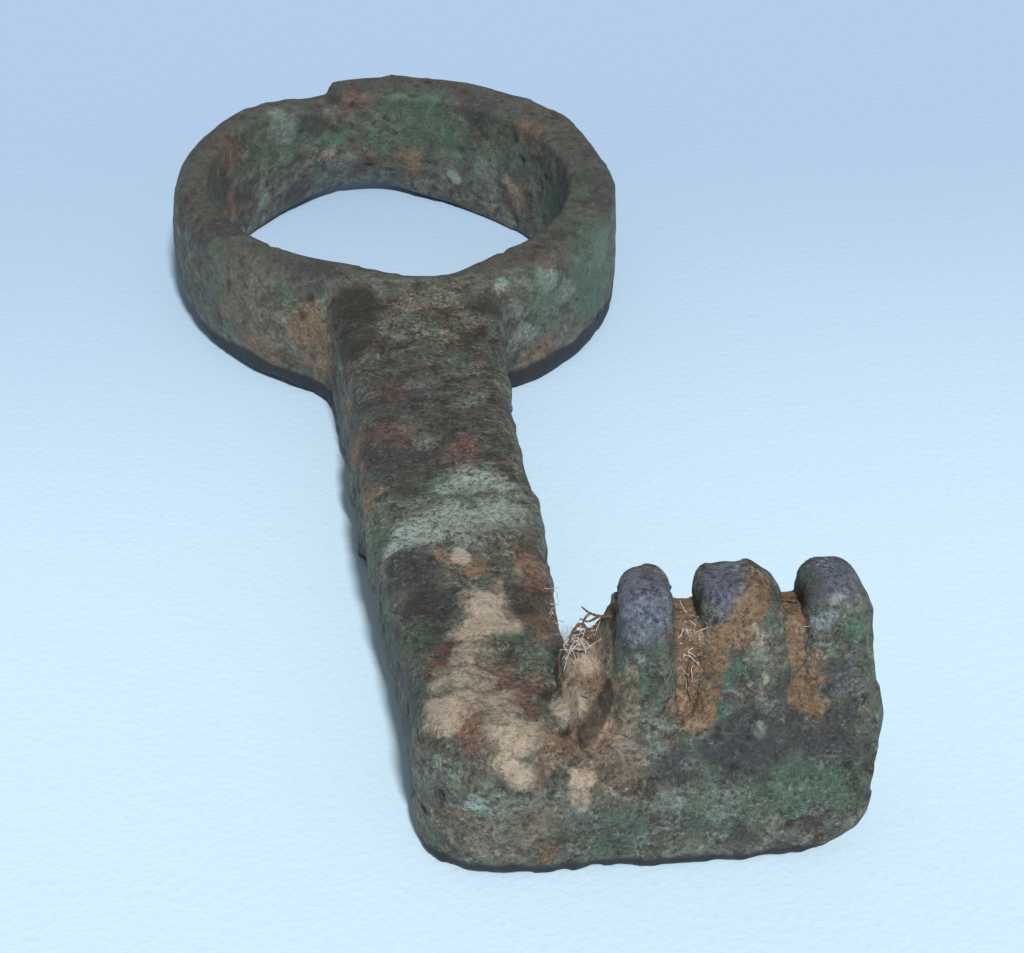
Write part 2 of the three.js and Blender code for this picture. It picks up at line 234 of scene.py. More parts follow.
def pits(points, spacing, seed):
    """Distance to the nearest of many scattered points, as a share of their spacing, and that point's number."""
    spot = points / spacing
    home = np.floor(spot).astype(np.int64)
    nearest = np.full(len(points), FAR_OFF)
    number = np.zeros(len(points))
    for offset in np.ndindex(3, 3, 3):
        cell = home + np.array(offset) - 1
        centre = cell + np.stack([scatter(cell, seed + axis) for axis in range(3)], axis=1)
        gap = np.sqrt(((spot - centre) ** 2).sum(1))
        closer = gap < nearest
        nearest = np.where(closer, gap, nearest)
        number = np.where(closer, scatter(cell, seed + 7), number)
    return nearest, number


# ---- distance fields ----


def rounded(u, v, edge):
    """Distance to a shape with two flat sides and a round edge, from how far a point lies past each side."""
    a, b = u + edge, v + edge
    return np.hypot(np.maximum(a, 0), np.maximum(b, 0)) + np.minimum(np.maximum(a, b), 0) - edge


def melt(a, b, reach):
    """Joins two shapes with a fillet of about that reach."""
    near = np.maximum(reach - np.abs(a - b), 0) / reach
    return np.minimum(a, b) - near * near * reach / 4


class Grid:
    """An even grid of points over a box, in millimetres from the middle of the bow."""

    def __init__(self, low, high, pitch):
        self.low, self.pitch = np.array(low, float), pitch
        counts = np.ceil((np.array(high) - self.low) / pitch).astype(int) + 1
        axes = [self.low[axis] + pitch * np.arange(counts[axis]) for axis in range(3)]
        self.x, self.y, self.z = np.meshgrid(*axes, indexing="ij", sparse=True)

    def points(self, where):
        """The points picked by the three index arrays of where."""
        return np.stack(where, axis=1) * self.pitch + self.low

    def surface(self, field):
        """Points and outward quads of the surface where the field is zero."""
        volume = openvdb.FloatGrid(background=1.0)
        volume.copyFromArray(np.ascontiguousarray(field, dtype=np.float32))
        points, quads = volume.convertToQuads(0.0)
        points = points.astype(float) * self.pitch + self.low
        a, b, c = points[quads[:, 0]], points[quads[:, 1]], points[quads[:, 2]]
        if np.einsum("ij,ij->i", a, np.cross(b, c)).sum() < 0:
            quads = quads[:, ::-1]
        return points, quads


def meet(first, *others):
    """What several shapes have in common."""
    for other in others:
        first = np.maximum(first, other)
    return first


def chain_distance(points, chain):
    """Distance past the outline of a chain of beads that taper into each other."""
    nearest = np.full(len(points), FAR_OFF)
    for (*start, first), (*end, last) in zip(chain[:-1], chain[1:]):
        start, run = np.array(start), np.array(end) - np.array(start)
        along = np.clip((points - start) @ run / (run @ run), 0, 1)
        gap = np.linalg.norm(points - start - along[:, None] * run, axis=1)
        nearest = np.minimum(nearest, gap - (first + (last - first) * along))
    return nearest


class Casting:
    """The whole bronze as one shape: distances from its surface, below zero in the metal.

    Places are in millimetres from the middle of the bow, and angles in degrees round it from the arm's side.
    """

    # Places along the shank: distance from the bow's middle, sideways shift and half width
    STATIONS = (
        (8.0, 0.0, 4.3), (12.2, 0.0, 3.8), (15.0, 0.0, 3.55), (18.5, -0.08, 3.42), (22.0, -0.08, 3.42),
        (25.0, -0.1, 3.55), (28.5, -0.02, 3.4), (32.0, 0.1, 3.2), (36.0, 0.25, 3.1), (41.0, 0.35, 2.95),
    )
    # Teeth from the shank: middle and half width at the root and at the tip, where the right shoulder starts to
    # fall, and how far it falls
    TEETH = (
        (5.1, 1.3, 5.25, 0.94, 5.7, 0.15), (8.75, 1.9, 8.52, 1.48, 8.9, 0.65), (12.25, 1.5, 11.95, 1.2, 12.0, 0.75),
    )
    # The crease down the front beside the first tooth: x, y, z and radius
    CREASE = ((3.95, -38.5, 7.3, 0.05), (3.57, -38.9, 6.55, 0.15), (3.0, -39.4, 5.8, 0.1))

    # Heights: the underside over the paper, the bow's belly, from the belly to the rim, and the tucked side
    UNDERSIDE, BELLY, BELLY_TO_RIM, TUCKED = 0.04, 2.8, 3.7, 3.2
    # Angles between which the worn stretch of rim starts, grows shallower and ends
    WORN_STARTS, WORN_FADES, WORN_ENDS = (103.5, 105.5), (108, 131), (131, 134)
    # Round the bow: the middle of each feature, and how far from it the feature starts and is full
    NECK_DIP, FAR_BAND, NOTCH, FULL_BAND = (-84, 26, 0), (98, 48, 4), (96, 22, 5), (62, 55, 25)
    # The same down the left side of the shank, and how deep each hollow is
    BULGE = (-19.2, 1.6, 0.4)
    HOLLOWS = ((-16.6, 1.4, 0.3, 0.12), (-26.8, 3.6, 1.5, 0.22))
    # Middle and half length of the comb's plate, then middle and half of its height
    COMB = (8.05, 5.45, 3.7, 2.45)
    # Edge radius at the foot of the bow, and the fillets from comb to arm and from arm to shank
    BOW_FOOT, COMB_FILLET, ARM_FILLET = 0.6, 1.1, 0.7
    # How far the shank runs into the bow and a tooth into the comb, where the arm starts, and how short it stops
    INTO_BOW, INTO_COMB, ARM_START, ARM_SHORT = 1.75, 1.5, 2.9, 0.14
    # How near to the surface the crust is worked out
    CRUST_REACH = 0.6

    def __init__(self, scene):
        self.bow, self.bar_sizes, self.bit = map(in_mm, (scene.key_bow, scene.key_bar, scene.key_bit))
        self.skin = self.bow.skin
        self.band_height = node_box("bow_ring")[1][2]
        self.bar_height = node_box("shank")[1][2]
        self.neck_end, self.seat = (corner[1] for corner in node_box("bow_neck"))
        self.elbow_rear = node_box("shank_elbow")[1][1]
        self.arm_low, self.arm_high = node_box("bit_arm")
        self.comb_low, self.comb_high = node_box("comb_plate")
        self.tooth_low, self.tooth_high = node_box("tooth_2")

    def bow_ring(self, x, y, z):
        """The finger ring: a band with a belly outside, a worn rim and a worn underside at the far side."""
        sizes, turn = self.bow, np.degrees(np.arctan2(y, x))
        far, notch, full = (around(turn, *place) for place in (self.FAR_BAND, self.NOTCH, self.FULL_BAND))
        worn = soft(turn, *self.WORN_STARTS) * (1 - 0.85 * soft(turn, *self.WORN_FADES))
        worn = worn * (1 - soft(turn, *self.WORN_ENDS))
        dip = sizes.near_dip * around(turn, *self.NECK_DIP)
        top = self.band_height - self.skin - sizes.worn_depth * worn - dip
        bottom = self.UNDERSIDE + sizes.underside_rise * far + 0.1 * notch
        rise = np.clip((z - self.BELLY) / self.BELLY_TO_RIM, 0, 1)
        fall = np.clip((self.BELLY - z) / self.BELLY, 0, 1)
        lean = sizes.belly * rise**2 * (1 - full)
        undercut = sizes.undercut * (1 - 0.9 * np.cos(np.radians(turn + 25))) * (1 - 0.7 * far)
        outside = BOW_RADIUS - self.skin * (1 - 0.7 * full) - lean - undercut * fall**2
        inside = BOW_RADIUS - sizes.thickness
        inside = inside + sizes.thin_side * np.maximum(-np.cos(np.radians(turn + 2)), 0) ** 2
        inside = inside + (sizes.far_lean * far + 0.5 * notch) * fall
        reach = np.hypot(x, y)
        out, into, up, down = reach - outside, inside - reach, z - top, bottom - z
        outer, inner = sizes.outer_edge * (1 - 0.45 * full), sizes.inner_edge
        above = meet(rounded(out, up, outer), rounded(into, up, inner))
        return meet(above, rounded(out, down, self.BOW_FOOT), rounded(into, down, inner))

    def bar(self, x, y, z):
        """The waisted shank and its nose, with a bulge, hollows and a tuck down the left side."""
        sizes = self.bar_sizes
        reach, middle, half = np.array(self.STATIONS).T
        centre = np.interp(-y, reach, middle)
        side = np.abs(x - centre) - np.interp(-y, reach, half)
        tuck = np.clip((self.TUCKED - z) / self.TUCKED, 0, 1) ** 1.5 * soft(y, -21.7, -23.2) * soft(y, -39, -34)
        bulge = 0.3 * soft(z, 1.0, 2.0) * soft(z, 5.0, 3.5) - 0.6 * soft(z, 1.8, 0.6)
        bulge = around(y, *self.BULGE) * bulge
        for *place, depth in self.HOLLOWS:
            bulge = bulge - depth * around(y, *place)
        side = side + (sizes.tuck * tuck - bulge) * soft(x, 1, -1)
        front = (self.arm_low[1] + self.skin) - y
        rear = y - self.seat - self.INTO_BOW
        corner = np.where(x < centre, sizes.nose_corner, sizes.inner_corner)
        plan = meet(rounded(side, front, corner), rear)
        top = self.bar_height - self.skin + 0.35 * soft(y, -13.5, -10) - 0.28 * soft(y, -10, -8.3)
        top = top - 0.05 * ((x - centre) / 3) ** 2
        edge = sizes.edge + (sizes.nose_edge - sizes.edge) * soft(y, -36.5, -39.5)
        return meet(rounded(plan, z - top, edge), rounded(plan, self.UNDERSIDE - z, sizes.under_edge))

    def arm(self, x, y, z):
        """The arm, rounded under its free end."""
        end = x - (self.arm_high[0] - self.ARM_SHORT)
        under = rounded(end, self.UNDERSIDE - z, self.bit.arm_end)
        middle = (self.arm_low[1] + self.arm_high[1]) / 2
        side = np.abs(y - middle) - (self.arm_high[1] - self.arm_low[1]) / 2 + self.skin
        above = meet(rounded(z - self.arm_high[2], side, self.bit.arm_edge), rounded(end, side, 1.0))
        return meet(above, rounded(under, side, 0.5), self.ARM_START - x)

    def comb(self, x, y, z):
        """The plate that joins the roots of the teeth, a little narrower towards its top."""
        middle_x, half_x, middle_z, half_z = self.COMB
        middle = (self.comb_low[1] + self.comb_high[1]) / 2
        half = (self.comb_high[1] - self.comb_low[1]) / 2 - self.skin / 2
        lean = 0.12 * np.clip(z - self.comb_low[2], 0, 3)
        plan = rounded(np.abs(x - middle_x) - half_x, np.abs(y - middle) - half + lean, 0.7)
        return rounded(plan, np.abs(z - middle_z) - half_z, 0.5)

    def tooth(self, number, x, y, z):
        """One tooth, flared at its root, with a domed tip and a falling right shoulder."""
        root, root_half, tip, tip_half, shoulder, drop = self.TEETH[number]
        low, high = self.tooth_low, self.tooth_high
        rise = np.clip((z - low[2]) / (high[2] - low[2]), 0, 1)
        flare = (1 - rise) ** 2
        lengthways = np.abs(x - (tip + (root - tip) * flare)) - (tip_half + (root_half - tip_half) * flare)
        middle = (low[1] + high[1]) / 2 + 0.6 * rise
        plan = rounded(lengthways, np.abs(y - middle) - (1.95 - 0.8 * rise), self.bit.tooth_edge)
        top = high[2] - 0.03 - drop * soft(x, shoulder, tip + tip_half + 0.3)
        return meet(rounded(plan, z - top, self.bit.dome), low[2] - self.INTO_COMB - z)

    def base(self, x, y, z):
        """The shape before any crust."""
        bit = melt(self.arm(x, y, z), self.comb(x, y, z), self.COMB_FILLET)
        for number in range(len(self.TEETH)):
            bit = melt(bit, self.tooth(number, x, y, z), self.bit.fillet)
        bar = melt(self.bar(x, y, z), self.bow_ring(x, y, z), self.bow.fillet)
        return melt(bar, bit, self.ARM_FILLET)

    def relief(self, points):
        """How far the crust stands proud of the shape at each point."""
        x, y, _ = points.T
        # A height, then the width and the seed of the noise that it follows, and the noise's layers
        swell = 0.06 * rough(points, 4.5, 3, 2)
        plates = 0.09 * soft(rough(points, 2.1, 11, 3), 0.0, 0.22) - 0.045
        lumps = 0.06 * rough(points, 0.9, 23, 3)
        near, number = pits(points, 0.9, 41)
        holes = -0.16 * soft(near, 0.34, 0.1) * soft(number, 0.45, 0.7)
        near, number = pits(points, 0.55, 57)
        grains = 0.08 * soft(near, 0.38, 0.05) * soft(number, 0.5, 0.8)
        # Fine cross scratches on the upper shank and a worn collar below them
        slanted = y + x * 0.12 + 0.3 * drift(points, 1.3, 71)
        scratches = 0.035 * np.sin(slanted * 2 * math.pi / 0.52) * np.maximum(0.2 + drift(points, 1.1, 73), 0)
        across = y - 0.2 * x + 0.15 * drift(points, 1.0, 79)
        collar = 0.14 * soft(across, -24.7, -25.05) * soft(across, -28.6, -28.2) * around(x, 0, 5, 4)
        # A crease between the first tooth and the earth banked on its left
        crease = -0.3 * soft(chain_distance(points, self.CREASE), 0.25, -0.1)
        # The bow is calmer than the rest
        calm = 1 - 0.45 * soft(y, -11, -8)
        return (swell + plates + lumps + grains) * calm + holes + scratches * scratched(points) + collar + crease

    def crusted(self, grid):
        """The field of the corroded casting over a grid, with its crust."""
        field = self.base(grid.x, grid.y, grid.z)
        where = np.nonzero(np.abs(field) < self.CRUST_REACH)
        field[where] -= self.relief(grid.points(where))
        return field


# ---- meshes ----

# How far inside the box round the solids a clipped point comes to lie
BOX_MARGIN = 0.005


def within_solids(points):
    """The points, moved into the box round all the solids where they lie outside it."""
    low, high = (np.array(corner) / MM - BOW_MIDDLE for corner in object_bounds())
    return np.clip(points, low + BOX_MARGIN, high - BOX_MARGIN)


def new_piece(name, points, faces, material, smooth=True):
    """A mesh object in the row frame from points in millimetres from the middle of the bow."""
    mesh = bpy.data.meshes.new(name)
    placed = (np.asarray(points) + BOW_MIDDLE) * MM
    mesh.from_pydata(placed.tolist(), [], faces if isinstance(faces, list) else faces.tolist())
    mesh.validate()
    if smooth:
        mesh.shade_smooth()
    mesh.materials.append(material)
    piece = bpy.data.objects.new(name, mesh)
    bpy.context.scene.collection.objects.link(piece)
    return piece


def vertex_points(mesh):
    """The vertices of a mesh, in millimetres from the middle of the bow."""
    flat = np.zeros(len(mesh.vertices) * 3, np.float32)
    mesh.vertices.foreach_get("co", flat)
    return flat.reshape(-1, 3).astype(float) / MM - BOW_MIDDLE


def set_values(mesh, values):
    """Keeps named numbers for each vertex, for the material to read."""
    for name, numbers in values.items():
        attribute = mesh.attributes.new(name, "FLOAT", "POINT")
        attribute.data.foreach_set("value", np.ascontiguousarray(numbers, dtype=np.float32))


def prism(outline, low, high):
    """Points and faces of an upright prism over an outline, anticlockwise, from low to high."""
    count = len(outline)
    points = [(x, y, z) for z in (low, high) for x, y in outline]
    faces = [[k, (k + 1) % count, count + (k + 1) % count, count + k] for k in range(count)]
    faces += [list(range(count))[::-1], list(range(count, 2 * count))]
    return points, faces


def rectangle(x, y):
    return [(x[0], y[0]), (x[1], y[0]), (x[1], y[1]), (x[0], y[1])]


def dress(piece, slot, *nodes):
    """Says where a piece rides and hides the solids that it stands for; the slot is not used."""
    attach(piece, ROOT)
    if nodes:
        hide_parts(*nodes)


# ---- materials ----

# Linear colour of the paper's faint tooth
PAPER_TOOTH = (0.5, 0.62, 0.8)


class Value:
    """A value socket of a material, for sums written as plain expressions."""

    def __init__(self, paint, socket):
        self.paint, self.socket = paint, socket

    def _sum(self, operation, first, second):
        made = self.paint.node("ShaderNodeMath", {0: first, 1: second}, operation=operation)
        return Value(self.paint, made.outputs[0])

    def __add__(self, other):
        return self._sum("ADD", self, other)

    __radd__ = __add__

    def __sub__(self, other):
        return self._sum("SUBTRACT", self, other)

    def __rsub__(self, other):
        return self._sum("SUBTRACT", other, self)

    def __mul__(self, other):
        return self._sum("MULTIPLY", self, other)

    __rmul__ = __mul__

    def above(self, low, high):
        """A smooth step from 0 where this is at low to 1 where it is at high."""
        sockets = {"Value": self, "From Min": low, "From Max": high}
        made = self.paint.node("ShaderNodeMapRange", sockets, interpolation_type="SMOOTHSTEP")
        return Value(self.paint, made.outputs[0])


class Paint:
    """A material in the making."""

    def __init__(self, name):
        self.material = bpy.data.materials.new(name)
        self.material.use_nodes = True
        self.tree = self.material.node_tree
        self.tree.nodes.clear()
        coordinates = self.node("ShaderNodeTexCoord", {}).outputs["Object"]
        scaled = self.node("ShaderNodeVectorMath", {0: coordinates, "Scale": 1 / MM}, operation="SCALE")
        self.place = scaled.outputs[0]

    def node(self, kind, sockets, **settings):
        """One node: its settings first, then the values or links of its sockets."""
        made = self.tree.nodes.new(kind)
        for key, value in settings.items():
            setattr(made, key, value)
        for key, value in sockets.items():
            value = value.socket if isinstance(value, Value) else value
            if isinstance(value, bpy.types.NodeSocket):
                self.tree.links.new(value, made.inputs[key])
            else:
                made.inputs[key].default_value = value
        return made

    def noise(self, per_mm, detail, roughness=0.55, distortion=0.0, place=None):
        """Noise from 0 to 1, with about that many lumps to a millimetre."""
        sockets = {"Vector": place or self.place, "Scale": per_mm, "Detail": detail}
        sockets |= {"Roughness": roughness, "Distortion": distortion}
        return Value(self, self.node("ShaderNodeTexNoise", sockets).outputs[0])

    def stretched(self, turn, scale):
        """The place turned about the upright axis and scaled along each axis."""
        sockets = {"Vector": self.place, "Rotation": (0.0, 0.0, math.radians(turn)), "Scale": scale}
        return self.node("ShaderNodeMapping", sockets, vector_type="POINT").outputs[0]

    def kept(self, name):
        """A value that the mesh keeps at its vertices."""
        return Value(self, self.node("ShaderNodeAttribute", {}, attribute_name=name).outputs["Fac"])

    def blend(self, low, high, share):
        """The colour low where share is 0, and high where it is 1."""
        low, high = (c if isinstance(c, bpy.types.NodeSocket) else (*c, 1.0) for c in (low, high))
        return self.node("ShaderNodeMix", {0: share, 6: low, 7: high}, data_type="RGBA").outputs[2]

    def finish(self, base, roughness, height, distance):
        """Joins colour, roughness and relief in the shader."""
        bump = self.node("ShaderNodeBump", {"Strength": 1.0, "Distance": distance * MM, "Height": height})
        sockets = {"Base Color": base, "Roughness": roughness, "Normal": bump.outputs[0]}
        shader = self.node("ShaderNodeBsdfPrincipled", sockets)
        self.node("ShaderNodeOutputMaterial", {"Surface": shader.outputs[0]})
        return self.material


def patina(name, finish, roughness):
    """Corroded bronze, or the earth on it: one recipe, so that crust and metal pass into each other."""
    p = Paint(name)
    broad, mottle, other = p.noise(0.4, 3), p.noise(1.3, 5, 0.6, 0.4), p.noise(1.9, 4, 0.6, 0.3)
    grain, speck, patchy = p.noise(5.5, 4, 0.65), p.noise(15.0, 3, 0.65), p.noise(3.2, 4, 0.6, 0.8)
    lines = p.noise(1.3, 4, 0.62, 0.6, p.stretched(7, (0.8, 1.8, 1.1)))
    fine = grain * 0.6 + speck * 0.4
    scratches, grainy = p.kept("scratched"), p.kept("grainy")
    layers = [
        (finish.olive, (broad * 0.5 + other * 0.35 + fine * 0.15).above(0.42, 0.58)),
        (finish.grey_green, (mottle * 0.7 + fine * 0.3 + p.kept("proud") * 0.05).above(0.45, 0.6) * 0.85),
        (finish.damp_and_painted_shade, (1 - other * 0.7 - fine * 0.3).above(0.5, 0.64) * 0.6),
        # Soot, red oxide and pale metal in the cross scratches
        (finish.soot, (1 - lines).above(0.47, 0.62) * scratches * 0.65),
        (finish.cuprite, (lines * 0.5 + mottle * 0.5).above(0.52, 0.62) * scratches * 0.4),
        (finish.chalk, lines.above(0.56, 0.68) * scratches * 0.38),
        # Small stains of red oxide and verdigris all over
        (finish.cuprite, (mottle * 0.3 + p.noise(2.0, 4, 0.6) * 0.7).above(0.53, 0.65) * 0.55),
        (finish.verdigris, (broad * 0.3 + p.noise(1.6, 4, 0.6) * 0.7).above(0.52, 0.64) * 0.65),
    ]
    # The placed stains: where, the noise that breaks them up, their contrast and their strength
    for kept, noise, contrast, strength in (
        ("dark", mottle, 5.0, 0.9),
        ("slate", mottle, 3.5, 0.82),
        ("verdigris", other, 5.0, 0.7),
        ("soil", mottle, 3.5, 0.75),
        ("pale", mottle, 4.0, 0.8),
        ("cuprite", other, 4.0, 0.7),
        ("mint", patchy, 4.0, 0.82),
    ):
        tint = finish.pale_soil if kept == "pale" else getattr(finish, kept)
        uneven = p.kept(kept) * ((noise * 0.6 + fine * 0.4) * contrast + (1 - contrast / 2))
        layers.append((tint, uneven.above(0.1, 1.0) * strength))
    # Grains of every shade over everything, and painted shade in the hollows and creases
    clean = (1 - p.kept("pale") * 0.9) * grainy
    bright = (1 - p.kept("dark") * 0.45) * grainy
    layers += [
        (finish.umber, (patchy * 0.8 + other * 0.2).above(0.52, 0.62) * 0.5),
        (finish.grey_green, (1 - patchy * 0.7 - grain * 0.3).above(0.52, 0.64) * 0.45),
        (finish.soot, (1 - fine * 0.8 - other * 0.2).above(0.47, 0.62) * clean * 0.8),
        (finish.chalk, (grain * 0.6 + mottle * 0.4).above(0.54, 0.66) * bright * 0.4),
        (finish.chalk, (speck * 0.6 + grain * 0.4).above(0.55, 0.68) * bright * 0.5),
        (finish.soot, (1 - grainy) * 0.32),
        # Painted shade along the lower edges, where the key meets the paper
        (finish.damp_and_painted_shade, p.kept("low").above(0.1, 0.9) * 0.95),
        # Painted shade in hollows, pits and creases
        (finish.soot, p.kept("hollow").above(0.1, 0.9) * 0.7),
    ]
    base = finish.umber
    for tint, share in layers:
        base = p.blend(base, tint, share)
    height = (grain * 0.6 + speck * 0.5) * grainy + mottle * 0.3
    return p.finish(base, (grain - 0.5) * 0.3 + roughness, height, 0.24)


def root_finish(name, tint, other_tint):
    """Dry root bark."""
    p = Paint(name)
    bark = p.noise(6.0, 3, 0.6)
    return p.finish(p.blend(tint, other_tint, bark.above(0.45, 0.75)), 0.75, bark, 0.04)


def paper_finish(stage):
    """Pale paper with a faint tooth, painted darker and bluer away from the camera as shade."""
    p = Paint("paper")
    away = Value(p, p.node("ShaderNodeSeparateXYZ", {0: p.place}).outputs["Y"])
    # Painted shade: the paper darkens away from the camera
    base = p.blend(stage.paper_near, stage.paper_far_shaded, (away + p.noise(0.02, 2) * 8).above(-12.0, 36.0))
    tooth = p.noise(3.0, 3)
    base = p.blend(base, PAPER_TOOTH, (tooth - 0.5).above(0.05, 0.3) * 0.2)
    return p.finish(base, 0.9, tooth, 0.03)


# ---- where the finishes lie ----

